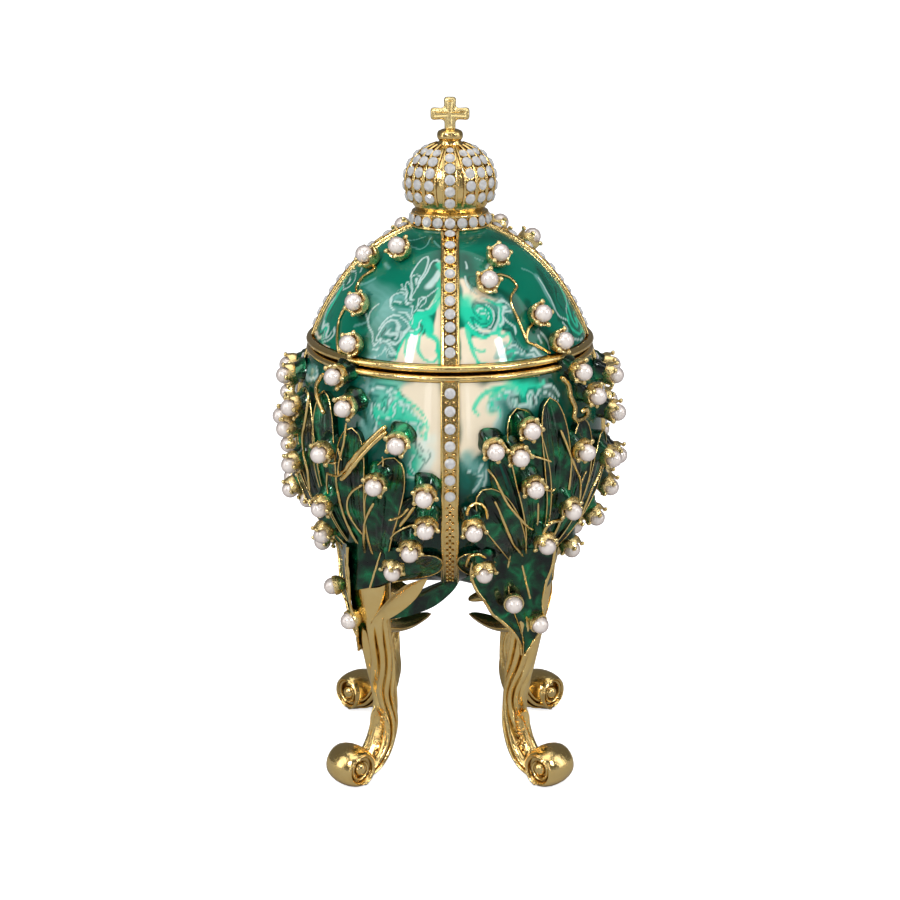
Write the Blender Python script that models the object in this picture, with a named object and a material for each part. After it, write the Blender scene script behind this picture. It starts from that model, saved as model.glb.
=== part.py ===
"""Jewelled egg trinket box: a cast, gilt and enamelled egg on four scrolled legs.

A hollow bowl carries lily leaves, flower cups and pearls, a hollow lid rests on it, a ribbed
crown with a cross tops the lid, and four cast legs are fixed under the bowl. The front of
the box looks along -Y. The sizes below are in millimetres, and angles are in degrees.
"""
import math

import bmesh
import bpy
from mathutils import Vector

MM = 0.001

# Egg body: the enamelled surface is two half ellipses that meet at its widest height
EGG_RADIUS = 28.3
EGG_WIDEST_Z = 63.0
EGG_BOTTOM_Z = 35.0
EGG_TOP_Z = 103.0
WALL = 1.6
LATHE_SIDES = 28

# Seam between the bowl and the lid
SEAM_Z = 80.3
LIP_PROUD = 1.0
LIP_HEIGHT = 1.4
LIP_BEVEL = 0.3
COLLAR_HEIGHT = 1.3
COLLAR_WALL = 1.2
FIT_GAP = 0.3

# Jewelled bands: four raised ribs with room for a row of crystals
BAND_WIDTH = 3.2
BAND_PROUD = 0.45
BAND_FOOT_RISE = 1.5
BAND_HEAD_DROP = 0.6

# Pearls and the flower cups that hold them
PEARL_RADIUS = 1.58
CUP_TOP_RADIUS = 2.1
CUP_BASE_RADIUS = 1.1
CUP_SIDES = 5
BOWL_PEARL_LIFT = 3.7
LID_PEARL_LIFT = 2.7
BOWL_FLOWER_TILT = 22.0
LID_FLOWER_TILT = 8.0
FLOWER_DRIFT_ANGLE = 3.5

# Leaves that fan up the bowl from the top of each leg
LEAF_CLEARANCE = 1.6
LEAF_PROUD = 1.3
LEAF_FOLD = 0.5
LEAF_ROOT = 0.5
LEAF_FOOT_HALF_ANGLE = 2.2
LEAF_HALF_ANGLE = 6.9
LEAF_SWAY = 0.8
LEAF_TIP_SHARE = 0.5

# Crown and cross
CROWN_RING_RADIUS = 7.0
CROWN_RING_HEIGHT = 3.0
CROWN_RING_FLARE = 0.2
CROWN_RING_FLARE_SHARE = 0.6
CROWN_NECK_RADIUS = 6.2
CROWN_BALL_RADIUS = 8.1
CROWN_BALL_HEIGHT = 12.0
CROWN_BALL_WIDEST_SHARE = 0.42
CROWN_RIB_PROUD = 0.3
CROWN_RIB_ANGLES = (0.0, 27.0, 45.0, 63.0)
FINIAL_RADIUS = 2.3
FINIAL_RISE = 2.4
CROSS_WIDTH = 7.0
CROSS_HEIGHT = 5.8
CROSS_ARM = 2.2
CROSS_ARM_SHARE = 0.48
CROSS_FLARE = 0.35
CROSS_THICKNESS = 1.5
CROSS_SUNK = 1.0

# Legs: a bar bows in to the ankle, swings out along the ground and ends in a scroll
LEG_RISE = 10.8
LEG_PROUD = 2.5
LEG_GAP = 0.3
LEG_HALF_WIDTH = 5.3
LEG_HALF_DEPTH = 3.2
ANKLE_BOW = 7.8
ANKLE_Z = 13.5
SCROLL_RADIUS = 3.9
SCROLL_END_RADIUS = 3.3
SCROLL_SWING = 9.1
SCROLL_WIDTH = 6.0
SCROLL_DOME = 0.7
SCROLL_SIDES = 12
FOOT_CUT = 0.25
SPUR_LENGTH = 15.2
SPUR_TIP_Z = 26.7
SPUR_WIDTH = 5.4
SPUR_SAG = 1.2
SPUR_THICKNESS = 1.4
SPUR_DISH = 0.5
SPUR_ROOT = (0.4, 0.45)
SPUR_STEPS = 4
BRACKET_KEEL = 1.4
LEG_LEAF_FOLD = 0.4
LEG_LEAF_ROOT = 3.2
LEG_PEARL_LIFT = 2.6

# Corners of the bar's section: shares of its half width to the left and half depth outwards
BAR_CORNERS = ((0.8, 0.75), (0.0, 1.0), (-0.8, 0.75), (-1.0, -0.55), (0.0, -1.0), (1.0, -0.55))
# Bar above the ankle: shares of the way out and up to the leg's top, lean in degrees, and
# shares of the leg's half width and half depth
UPPER_BAR = (
    (0.55, 0.68, 12.0, 0.79, 1.0), (0.40, 0.50, 10.0, 0.70, 0.88), (0.24, 0.35, 6.0, 0.51, 0.62),
    (0.10, 0.18, 4.0, 0.38, 0.47), (0.0, 0.0, -2.0, 0.36, 0.44),
)
# Bar below the ankle: share of the way out to the scroll, share of the ankle's height, the same
LOWER_BAR = (
    (0.03, 0.70, -20.0, 0.42, 0.44), (0.19, 0.41, -42.0, 0.47, 0.44),
    (0.47, 0.2, -66.0, 0.51, 0.42), (0.8, 0.12, -84.0, 0.52, 0.41),
)
# Bracket under the bowl: share of the leg's reach, shares of its rise at top and foot, and
# share of its half width
BRACKET = (
    (0.98, 0.86, 0.78, 0.68), (0.89, 1.02, 0.62, 0.92), (0.72, 1.03, 0.54, 1.0),
    (0.54, 1.03, 0.62, 0.83), (0.38, 1.03, 0.70, 0.42),
)
# Enamelled leaf down the outer face: share of the ankle's bow that it lies in from the reach,
# share of the rise, and shares of the half width for its side step and its own half width
LEG_LEAF = (
    (0.14, 1.0, 0.06, 0.45), (0.03, 0.9, 0.09, 0.75), (0.05, 0.74, 0.09, 0.83),
    (0.24, 0.55, 0.06, 0.62), (0.45, 0.38, 0.02, 0.42),
)
LEG_LEAF_TIP = (0.64, 0.25)
# Seats of a leg's two pearls: how far in and up as for the leaf, the step to the leg's left,
# and the way that they face
LEG_FLOWERS = (
    (0.41, 0.725, 1.06, (0.75, 0.62, -0.2)), (0.32, 0.58, 0.23, (0.93, 0.1, -0.35)),
)

# A panel's flowers: angle from its middle, and height as a share of the bowl's or lid's own
BOWL_FLOWERS = {
    "a": (4.5, 0.943), "b": (10.8, 0.841), "c": (29.5, 0.733), "d": (1.6, 0.651),
    "e": (22.6, 0.572), "f": (-2.0, 0.437), "g": (-20.5, 0.775), "h": (-32.0, 0.713),
    "i": (-24.4, 0.682), "j": (-19.4, 0.558), "k": (37.6, 0.545), "l": (37.6, 0.422),
    "m": (31.7, 0.320), "n": (22.0, 0.216), "o": (-37.8, 0.413), "p": (-9.2, 0.312),
    "q": (-31.9, 0.221),
}
LID_FLOWERS_LEFT = {"a": (6.7, 0.83), "b": (-15.3, 0.74), "c": (-1.5, 0.43), "d": (3.2, 0.14)}
LID_FLOWERS_RIGHT = {"a": (-11.9, 0.79), "b": (-24.9, 0.63), "c": (-2.8, 0.36), "d": (4.0, 0.14)}
SIDE_FLOWER = (37.5, 0.861)
LEFT_OUT_BEHIND = ("b", "f", "i", "k", "m", "o", "q")

# A panel's leaves: angle of the foot, angle of the tip, and the tip's share of the bowl's height
FRONT_LEAVES = (
    (-11.0, -34.0, 0.56), (-5.5, -21.0, 0.86), (0.0, -7.0, 0.88), (5.5, 9.0, 0.77),
    (11.0, 26.0, 0.68),
)
BACK_LEAVES = ((-8.0, -27.0, 0.66), (0.0, -3.0, 0.86), (8.0, 22.0, 0.7))
# Stations of a leaf: share of its height and share of its full reach to either side
LEAF_STATIONS = ((0.0, 0.0), (0.32, 0.75), (0.7, 1.0), (0.92, 0.6))

# Panels: angle of the middle, name, hand of the drift and side flower, and if pearls are loose
PANELS = (
    (225.0, "front_left", -1.0, True), (315.0, "front_right", 1.0, True),
    (45.0, "back_right", -1.0, False), (135.0, "back_left", 1.0, False),
)


def clear_scene():
    for old in list(bpy.data.objects):
        bpy.data.objects.remove(old)


def material(name, color, roughness, metallic):
    """A Principled material, made once for each name."""
    mat = bpy.data.materials.get(name) or bpy.data.materials.new(name)
    mat.use_nodes = True
    shader = mat.node_tree.nodes["Principled BSDF"]
    shader.inputs["Base Color"].default_value = (*color, 1.0)
    shader.inputs["Roughness"].default_value = roughness
    shader.inputs["Metallic"].default_value = metallic
    return mat


def gold():
    return material("pale_gold", (0.86, 0.66, 0.33), 0.22, 1.0)


def enamel():
    return material("green_enamel", (0.01, 0.22, 0.13), 0.12, 0.0)


def pearl():
    return material("pearl", (0.92, 0.88, 0.87), 0.2, 0.0)


def make_object(name, build, mat):
    """One object from a bmesh that is built in millimetres."""
    bmesh.ops.recalc_face_normals(build, faces=build.faces)
    bmesh.ops.scale(build, vec=(MM, MM, MM), verts=build.verts)
    mesh = bpy.data.meshes.new(name)
    build.to_mesh(mesh)
    build.free()
    mesh.materials.append(mat)
    obj = bpy.data.objects.new(name, mesh)
    bpy.context.scene.collection.objects.link(obj)
    return obj


def combine(base, tool, operation):
    """Apply an exact Boolean of the tool to the base and remove the tool."""
    mod = base.modifiers.new(operation, "BOOLEAN")
    mod.operation = operation
    mod.solver = "EXACT"
    mod.use_self = operation == "UNION"
    mod.object = tool
    bpy.context.view_layer.update()
    depsgraph = bpy.context.evaluated_depsgraph_get()
    result = bpy.data.meshes.new_from_object(base.evaluated_get(depsgraph))
    base.modifiers.clear()
    base.data = result
    bpy.data.objects.remove(tool)


def shade(obj, angle=35.0):
    obj.data.shade_smooth()
    obj.data.set_sharp_from_angle(angle=math.radians(angle))


# Geometry of the egg

def egg_radius(z, out=0.0):
    """Radius of the enamelled surface, moved out by a distance, at a height."""
    half = (EGG_TOP_Z if z > EGG_WIDEST_Z else 2 * EGG_WIDEST_Z - EGG_BOTTOM_Z) - EGG_WIDEST_Z
    share = min(1.0, abs(z - EGG_WIDEST_Z) / (half + out))
    return (EGG_RADIUS + out) * math.sqrt(1.0 - share * share)


def egg_slope(z):
    """Outward normal of the egg's profile at a height, as (radial, vertical)."""
    half = EGG_TOP_Z - EGG_WIDEST_Z if z > EGG_WIDEST_Z else EGG_WIDEST_Z - EGG_BOTTOM_Z
    normal = Vector((egg_radius(z) / EGG_RADIUS ** 2, (z - EGG_WIDEST_Z) / half ** 2))
    return normal.normalized()


def polar(angle, radius, z):
    turn = math.radians(angle)
    return Vector((radius * math.cos(turn), radius * math.sin(turn), z))


def on_egg(angle, z, lift=0.0):
    """A point at a distance above the enamelled surface."""
    normal = egg_slope(z)
    return polar(angle, egg_radius(z) + lift * normal.x, z + lift * normal.y)


def egg_normal(angle, z):
    normal = egg_slope(z)
    return polar(angle, normal.x, normal.y)


def egg_arc(z_from, z_to, steps, out=0.0):
    """Profile points on the egg moved out by a distance, evenly spaced in ellipse angle."""
    points = []
    lower = EGG_WIDEST_Z - EGG_BOTTOM_Z + out
    upper = EGG_TOP_Z - EGG_WIDEST_Z + out

    def ellipse_angle(z):
        half = upper if z > EGG_WIDEST_Z else lower
        return math.asin(max(-1.0, min(1.0, (z - EGG_WIDEST_Z) / half)))

    start = ellipse_angle(z_from)
    end = ellipse_angle(z_to)
    for step in range(steps + 1):
        angle = start + (end - start) * step / steps
        half = upper if angle > 0 else lower
        radius = (EGG_RADIUS + out) * math.cos(angle)
        points.append((max(radius, 0.0), EGG_WIDEST_Z + half * math.sin(angle)))
    return points


# Building blocks

def ring(build, radius, z, sides):
    """A ring of vertices, or one vertex on the axis."""
    if radius < 0.01:
        return [build.verts.new((0.0, 0.0, z))]
    return [build.verts.new(polar(360.0 * side / sides, radius, z)) for side in range(sides)]


def bridge(build, low, high):
    """Faces between two rings, or between a ring and a single point."""
    sides = max(len(low), len(high))
    for side in range(sides):
        after = (side + 1) % sides
        if len(low) == 1:
            build.faces.new((low[0], high[after], high[side]))
        elif len(high) == 1:
            build.faces.new((low[side], low[after], high[0]))
        else:
            build.faces.new((low[side], low[after], high[after], high[side]))


def turned(profile, sides):
    """A turned body whose profile starts and ends on the axis."""
    build = bmesh.new()
    rings = [ring(build, radius, z, sides) for radius, z in profile]
    for low, high in zip(rings, rings[1:]):
        bridge(build, low, high)
    return build


def loft(build, sections):
    """A closed skin over sections with equal numbers of points; the ends are filled."""
    rings = [[build.verts.new(point) for point in section] for section in sections]
    for low, high in zip(rings, rings[1:]):
        bridge(build, low, high)
    for end in (rings[0], rings[-1]):
        if len(end) > 2:
            build.faces.new(end)


def leaf_on_egg(build, middle, leaf):
    """A folded blade that runs up the bowl from the leg to its rounded tip."""
    foot, tip, tip_share = leaf
    foot_z = leg_top() + LEAF_CLEARANCE
    tip_z = bowl_height(tip_share)
    sections = []
    for share, spread in LEAF_STATIONS:
        z = foot_z + (tip_z - foot_z) * share
        angle = middle + foot + (tip - foot) * share ** LEAF_SWAY
        reach = LEAF_FOOT_HALF_ANGLE + (LEAF_HALF_ANGLE - LEAF_FOOT_HALF_ANGLE) * spread
        sections.append((
            on_egg(angle - reach, z, LEAF_PROUD), on_egg(angle, z, LEAF_PROUD - LEAF_FOLD),
            on_egg(angle + reach, z, LEAF_PROUD), on_egg(angle + reach, z, -LEAF_ROOT),
            on_egg(angle - reach, z, -LEAF_ROOT),
        ))
    sections.append((on_egg(middle + tip, tip_z, LEAF_TIP_SHARE * LEAF_PROUD),))
    loft(build, sections)


def flower_axis(angle, seat_z, lift, tilt):
    """Pearl centre and the direction that its cup faces."""
    centre = on_egg(angle, seat_z, lift)
    normal = egg_normal(angle, seat_z)
    across = Vector((0.0, 0.0, 1.0)).cross(normal).normalized()
    up = normal.cross(across)
    facing = normal - up * math.tan(math.radians(tilt))
    return centre, facing.normalized()


def frustum(build, base, top, base_radius, top_radius, sides):
    """A tapered cup between two points."""
    axis = (top - base).normalized()
    side = axis.orthogonal().normalized()
    other = axis.cross(side)
    sections = []
    for centre, radius in ((base, base_radius), (top, top_radius)):
        section = []
        for step in range(sides):
            turn = 2 * math.pi * step / sides
            section.append(centre + radius * (math.cos(turn) * side + math.sin(turn) * other))
        sections.append(section)
    loft(build, sections)


def cup(build, centre, facing, length):
    """The flower cup behind a pearl, from inside the wall to just short of the pearl."""
    top = centre - facing * (PEARL_RADIUS + FIT_GAP)
    base = centre - facing * length
    frustum(build, base, top, CUP_BASE_RADIUS, CUP_TOP_RADIUS, CUP_SIDES)


def pearl_object(name, centre):
    build = bmesh.new()
    bmesh.ops.create_icosphere(build, subdivisions=1, radius=PEARL_RADIUS)
    bmesh.ops.translate(build, vec=centre, verts=build.verts)
    obj = make_object(name, build, pearl())
    shade(obj, 80.0)


def fused_pearl(build, centre, facing, length):
    """A few-sided pearl that is one with its cup."""
    side = facing.orthogonal().normalized()
    other = facing.cross(side)
    sections = []
    for along, radius in ((-length, CUP_BASE_RADIUS), (-0.5 * PEARL_RADIUS, CUP_TOP_RADIUS),
                          (0.2 * PEARL_RADIUS, PEARL_RADIUS)):
        turns = [2 * math.pi * step / CUP_SIDES for step in range(CUP_SIDES)]
        sections.append([centre + along * facing
                         + radius * (math.cos(turn) * side + math.sin(turn) * other)
                         for turn in turns])
    sections.append((centre + PEARL_RADIUS * facing,))
    loft(build, sections)


def plant_flowers(build, seats, panel, lift, tilt, owner):
    """The cups of one panel, with loose pearls in front and fused ones behind."""
    _middle, panel_name, _hand, loose = panel
    length = (lift + LEAF_ROOT) / math.cos(math.radians(tilt))
    for name, (angle, z) in seats.items():
        centre, facing = flower_axis(angle, z, lift, tilt)
        if loose:
            cup(build, centre, facing, length)
            pearl_object(f"pearl_{owner}_{panel_name}_{name}", centre)
        elif name not in LEFT_OUT_BEHIND:
            fused_pearl(build, centre, facing, length)


def bowl_seats(panel):
    """Angles and heights of the flowers on one panel of the bowl."""
    middle, _name, hand, _loose = panel
    seats = {}
    for name, (angle, share) in BOWL_FLOWERS.items():
        drift = FLOWER_DRIFT_ANGLE * hand * math.cos(math.radians(2 * angle))
        seats[name] = (middle + angle + drift, bowl_height(share))
    seats["side"] = (middle + hand * SIDE_FLOWER[0], bowl_height(SIDE_FLOWER[1]))
    return seats


def lid_seats(panel):
    """Angles and heights of the flowers on one panel of the lid."""
    middle, _name, hand, _loose = panel
    flowers = LID_FLOWERS_RIGHT if hand > 0 else LID_FLOWERS_LEFT
    rise = crown_foot() - SEAM_Z
    return {name: (middle + angle, SEAM_Z + rise * share)
            for name, (angle, share) in flowers.items()}


def band(build, angle, z_from, z_to, steps):
    """A raised rib up the egg's side for a row of crystals."""
    sections = []
    for radius, z in egg_arc(z_from, z_to, steps):
        reach = math.degrees(0.5 * BAND_WIDTH / radius)
        sections.append((
            on_egg(angle - reach, z, BAND_PROUD),
            on_egg(angle + reach, z, BAND_PROUD),
            on_egg(angle + reach, z, -0.5 * WALL),
            on_egg(angle - reach, z, -0.5 * WALL),
        ))
    loft(build, sections)


# Bowl and lid

def bowl_height(share):
    """A height on the bowl, as a share of the way from its bottom to the seam."""
    return EGG_BOTTOM_Z + (SEAM_Z - EGG_BOTTOM_Z) * share


def lip_radius():
    return egg_radius(SEAM_Z) + LIP_PROUD


def wall_radius():
    """Radius of the inner wall at the seam."""
    return egg_radius(SEAM_Z) - WALL


def make_bowl():
    lip_top = SEAM_Z - 0.5 * FIT_GAP
    lip_low = lip_top - LIP_HEIGHT
    collar = wall_radius() - FIT_GAP
    outside = egg_arc(EGG_BOTTOM_Z, lip_low, 8)
    rim = [
        (lip_radius(), lip_low + LIP_BEVEL), (lip_radius(), lip_top), (collar, lip_top),
        (collar, lip_top + COLLAR_HEIGHT), (collar - COLLAR_WALL, lip_top + COLLAR_HEIGHT),
        (collar - COLLAR_WALL, lip_low - COLLAR_WALL),
    ]
    inside = egg_arc(EGG_BOTTOM_Z + WALL, lip_low - 2.0 * COLLAR_WALL, 5, -WALL)[::-1]
    bowl = make_object("bowl", turned(outside + rim + inside, LATHE_SIDES), enamel())
    trim = bmesh.new()
    for panel in PANELS:
        for leaf in FRONT_LEAVES if panel[3] else BACK_LEAVES:
            leaf_on_egg(trim, panel[0], leaf)
        band(trim, panel[0] + 45.0, EGG_BOTTOM_Z + BAND_FOOT_RISE, lip_low + LIP_BEVEL, 6)
        plant_flowers(trim, bowl_seats(panel), panel, BOWL_PEARL_LIFT, BOWL_FLOWER_TILT, "bowl")
    combine(bowl, make_object("bowl_trim", trim, gold()), "UNION")
    shade(bowl)


def make_lid():
    lip_low = SEAM_Z + 0.5 * FIT_GAP
    lip_top = lip_low + LIP_HEIGHT
    recess = lip_low + COLLAR_HEIGHT
    inside = egg_arc(recess + 0.5 * WALL, EGG_TOP_Z - WALL, 4, -WALL)[::-1]
    rim = [(wall_radius(), recess), (wall_radius(), lip_low), (lip_radius(), lip_low),
           (lip_radius(), lip_top - LIP_BEVEL)]
    outside = egg_arc(lip_top, EGG_TOP_Z, 6)
    lid = make_object("lid", turned(inside + rim + outside, LATHE_SIDES), enamel())
    trim = bmesh.new()
    for panel in PANELS:
        band(trim, panel[0] + 45.0, lip_top - LIP_BEVEL, crown_foot() - BAND_HEAD_DROP, 5)
        plant_flowers(trim, lid_seats(panel), panel, LID_PEARL_LIFT, LID_FLOWER_TILT, "lid")
    combine(lid, make_object("lid_trim", trim, gold()), "UNION")
    shade(lid)


# Crown

def lid_height(radius, out=0.0):
    """Height of the lid's surface, moved out by a distance, at a radius."""
    share = radius / (EGG_RADIUS + out)
    return EGG_WIDEST_Z + (EGG_TOP_Z - EGG_WIDEST_Z + out) * math.sqrt(1.0 - share * share)


def crown_foot():
    """Height at which the crown's ring meets the lid."""
    return lid_height(CROWN_RING_RADIUS)


def crown_ring(build, radius, z, proud=0.0):
    """A ring with a vertex on every rib and halfway between; ribs stand proud."""
    angles = []
    for quarter in range(4):
        ribs = [quarter * 90.0 + angle for angle in CROWN_RIB_ANGLES]
        for rib, after in zip(ribs, ribs[1:] + [quarter * 90.0 + 90.0]):
            angles += [(rib, proud), (0.5 * (rib + after), -proud)]
    return [build.verts.new(polar(angle, radius + step, z)) for angle, step in angles]


def make_crown():
    foot = crown_foot()
    ring_top = foot + CROWN_RING_HEIGHT
    middle = ring_top + CROWN_BALL_WIDEST_SHARE * CROWN_BALL_HEIGHT
    ball_top = ring_top + CROWN_BALL_HEIGHT
    build = bmesh.new()
    rows = [[build.verts.new((0.0, 0.0, EGG_TOP_Z + FIT_GAP))]]
    for radius in (0.5 * CROWN_RING_RADIUS, CROWN_RING_RADIUS):
        rows.append(crown_ring(build, radius, lid_height(radius, FIT_GAP)))
    flare_z = foot + CROWN_RING_FLARE_SHARE * CROWN_RING_HEIGHT
    rows.append(crown_ring(build, CROWN_RING_RADIUS + CROWN_RING_FLARE, flare_z))
    rows.append(crown_ring(build, CROWN_NECK_RADIUS, ring_top))
    low_start = math.asin(CROWN_NECK_RADIUS / CROWN_BALL_RADIUS)
    for step in range(1, 3):
        turn = low_start + (0.5 * math.pi - low_start) * step / 2
        drop = (middle - ring_top) * math.cos(turn) / math.cos(low_start)
        radius = CROWN_BALL_RADIUS * math.sin(turn)
        rows.append(crown_ring(build, radius, middle - drop, CROWN_RIB_PROUD))
    top_end = math.asin(FINIAL_RADIUS / CROWN_BALL_RADIUS)
    for step in range(1, 4):
        turn = 0.5 * math.pi - (0.5 * math.pi - top_end) * step / 3
        rise = (ball_top - middle) * math.cos(turn) / math.cos(top_end)
        radius = CROWN_BALL_RADIUS * math.sin(turn)
        rows.append(crown_ring(build, radius, middle + rise, CROWN_RIB_PROUD * (3 - step) / 3))
    rows.append(crown_ring(build, FINIAL_RADIUS, ball_top + FINIAL_RISE))
    for low, high in zip(rows, rows[1:]):
        bridge(build, low, high)
    build.faces.new(rows[-1])
    crown = make_object("crown", build, gold())
    combine(crown, make_object("cross", cross_body(ball_top + FINIAL_RISE), gold()), "UNION")
    shade(crown, 25.0)


def cross_body(foot):
    """A flat cross with arms that flare a little; its foot is sunk in the finial."""
    build = bmesh.new()
    half = 0.5 * CROSS_ARM
    end = half + CROSS_FLARE
    reach = 0.5 * CROSS_WIDTH
    arm_z = foot + CROSS_ARM_SHARE * CROSS_HEIGHT
    top = foot + CROSS_HEIGHT
    right = [(half, foot - CROSS_SUNK), (half, arm_z - half), (reach, arm_z - end),
             (reach, arm_z + end), (half, arm_z + half), (end, top)]
    outline = right + [(-x, z) for x, z in reversed(right)]
    front = [build.verts.new((x, -0.5 * CROSS_THICKNESS, z)) for x, z in outline]
    back = [build.verts.new((x, 0.5 * CROSS_THICKNESS, z)) for x, z in outline]
    bridge(build, front, back)
    build.faces.new(front)
    build.faces.new(back)
    return build


# Legs

def leg_top():
    """Height at which a leg's top is cut off against the bowl."""
    return EGG_BOTTOM_Z + LEG_RISE


def leg_reach():
    """How far out the leg's top stands."""
    return egg_radius(leg_top()) + LEG_PROUD


def leg_height(share):
    """A height on the leg, as a share of the way from the ankle to its top."""
    return ANKLE_Z + (leg_top() - ANKLE_Z) * share


def ankle_out():
    return leg_reach() - ANKLE_BOW


def scroll_out():
    return ankle_out() + SCROLL_SWING


def leg_point(angle, out, across, z):
    """A point in a leg's own frame: distance from the axis, to its left seen from outside, up."""
    radial = polar(angle, 1.0, 0.0)
    left = Vector((radial.y, -radial.x, 0.0))
    return radial * out + left * across + Vector((0.0, 0.0, z))


def bar_section(angle, out, z, lean, width, depth):
    """A six-sided section across a leg's path; lean is the path's angle from upright."""
    half_width = LEG_HALF_WIDTH * width
    half_depth = LEG_HALF_DEPTH * depth
    forward = Vector((math.cos(math.radians(lean)), -math.sin(math.radians(lean))))
    return [leg_point(angle, out + half_depth * deep * forward.x, half_width * across,
                      z + half_depth * deep * forward.y) for across, deep in BAR_CORNERS]


def bar_sections(angle):
    sections = []
    for out, up, lean, width, depth in UPPER_BAR:
        reach = ankle_out() + ANKLE_BOW * out
        sections.append(bar_section(angle, reach, leg_height(up), lean, width, depth))
    for out, up, lean, width, depth in LOWER_BAR:
        reach = ankle_out() + SCROLL_SWING * out
        sections.append(bar_section(angle, reach, ANKLE_Z * up, lean, width, depth))
    return sections


def make_leg(angle, name):
    build = bmesh.new()
    loft(build, bar_sections(angle))
    leg = make_object(name, build, gold())
    trim = bmesh.new()
    add_scroll(trim, angle)
    add_spur(trim, angle)
    add_bracket(trim, angle)
    add_leg_leaf(trim, angle)
    for centre, facing in leg_pearls(angle):
        cup(trim, centre, facing, LEG_PEARL_LIFT + LEAF_ROOT)
    combine(leg, make_object(name + "_trim", trim, gold()), "UNION")
    trim_leg(leg, name)
    shade(leg, 40.0)


def add_scroll(build, angle):
    """The rolled foot: a short barrel across the leg with domed ends."""
    centre_z = SCROLL_RADIUS - FOOT_CUT
    centre_out = scroll_out()
    half = 0.5 * SCROLL_WIDTH
    sections = [(leg_point(angle, centre_out, -half - SCROLL_DOME, centre_z),)]
    for across, radius in ((-half, SCROLL_END_RADIUS), (-0.3 * half, SCROLL_RADIUS),
                           (0.3 * half, SCROLL_RADIUS), (half, SCROLL_END_RADIUS)):
        turns = [2 * math.pi * (side + 0.5) / SCROLL_SIDES for side in range(SCROLL_SIDES)]
        sections.append([leg_point(angle, centre_out + radius * math.cos(turn), across,
                                   centre_z + radius * math.sin(turn)) for turn in turns])
    sections.append((leg_point(angle, centre_out, half + SCROLL_DOME, centre_z),))
    loft(build, sections)


def add_spur(build, angle):
    """The gilt leaf that curls in from the knee under the bowl."""
    out_share, up_share = SPUR_ROOT
    root_out = ankle_out() + out_share * ANKLE_BOW
    tip_out = root_out - SPUR_LENGTH
    root_z = leg_height(up_share)
    sections = []
    for step in range(SPUR_STEPS):
        share = step / SPUR_STEPS
        out = root_out - SPUR_LENGTH * share
        z = root_z + (SPUR_TIP_Z - root_z) * share - SPUR_SAG * math.sin(math.pi * share)
        half = 0.5 * SPUR_WIDTH * (1.0 - share) ** 0.6
        lift = 0.5 * SPUR_THICKNESS
        sections.append((
            leg_point(angle, out, -half, z + lift), leg_point(angle, out, 0.0, z + lift - SPUR_DISH),
            leg_point(angle, out, half, z + lift), leg_point(angle, out, 0.0, z - lift),
        ))
    sections.append((leg_point(angle, tip_out, 0.0, SPUR_TIP_Z),))
    loft(build, sections)


def add_bracket(build, angle):
    """The broad top of a leg, which cups the bowl from below; the bowl's bed trims it."""
    sections = []
    for out, high, low, width in BRACKET:
        half = LEG_HALF_WIDTH * width
        reach = leg_reach() * out
        top = leg_height(high)
        keel = leg_height(low)
        sections.append((
            leg_point(angle, reach, -half, keel + BRACKET_KEEL), leg_point(angle, reach, 0.0, keel),
            leg_point(angle, reach, half, keel + BRACKET_KEEL), leg_point(angle, reach, half, top),
            leg_point(angle, reach, -half, top),
        ))
    loft(build, sections)


def add_leg_leaf(build, angle):
    """The enamelled leaf down the outer face of a leg."""
    sections = []
    for inward, up, step, width in LEG_LEAF:
        reach = leg_reach() - ANKLE_BOW * inward
        across = LEG_HALF_WIDTH * step
        half = LEG_HALF_WIDTH * width
        z = leg_height(up)
        sections.append((
            leg_point(angle, reach, across + half, z),
            leg_point(angle, reach - LEG_LEAF_FOLD, across, z),
            leg_point(angle, reach, across - half, z),
            leg_point(angle, reach - LEG_LEAF_ROOT, across, z),
        ))
    inward, up = LEG_LEAF_TIP
    sections.append((leg_point(angle, leg_reach() - ANKLE_BOW * inward, 0.0, leg_height(up)),))
    loft(build, sections)


def leg_pearls(angle):
    """Centres and facings of a leg's two pearls."""
    pearls = []
    for inward, up, step, facing in LEG_FLOWERS:
        seat = leg_point(angle, leg_reach() - ANKLE_BOW * inward, LEG_HALF_WIDTH * step,
                         leg_height(up))
        axis = leg_point(angle, *facing).normalized()
        pearls.append((seat + axis * LEG_PEARL_LIFT, axis))
    return pearls


def trim_leg(leg, name):
    """Cut a leg flat on the ground, and hollow its top to the bowl with a thin gap."""
    reach = 3.0 * EGG_RADIUS
    ground = bmesh.new()
    bmesh.ops.create_cube(ground, size=reach)
    bmesh.ops.translate(ground, vec=(0, 0, -0.5 * reach), verts=ground.verts)
    combine(leg, make_object(name + "_ground", ground, gold()), "DIFFERENCE")
    above = egg_arc(EGG_BOTTOM_Z - LEG_GAP, leg_top(), 6, LEG_GAP)
    above += [(reach, leg_top()), (reach, EGG_TOP_Z), (0.0, EGG_TOP_Z)]
    combine(leg, make_object(name + "_bed", turned(above, LATHE_SIDES), gold()), "DIFFERENCE")


def main():
    clear_scene()
    make_bowl()
    make_lid()
    make_crown()
    for middle, panel_name, _hand, _loose in PANELS:
        make_leg(middle, f"leg_{panel_name}")
        for index, (centre, _facing) in enumerate(leg_pearls(middle), 1):
            pearl_object(f"pearl_leg_{panel_name}_{index}", centre)


main()
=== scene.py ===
"""Looks of a jewelled egg trinket box, gilt, enamelled and set with pearls and crystals.

The sections follow the box as it is put together: bowl, lid, bands, leaves, stems, flowers,
crown and legs. Heights and lifts are in millimetres until a point is placed, angles are in
degrees round the box, and the front looks along -Y.
"""
import math

import bpy
import numpy as np
from mathutils import Matrix, Vector


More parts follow.
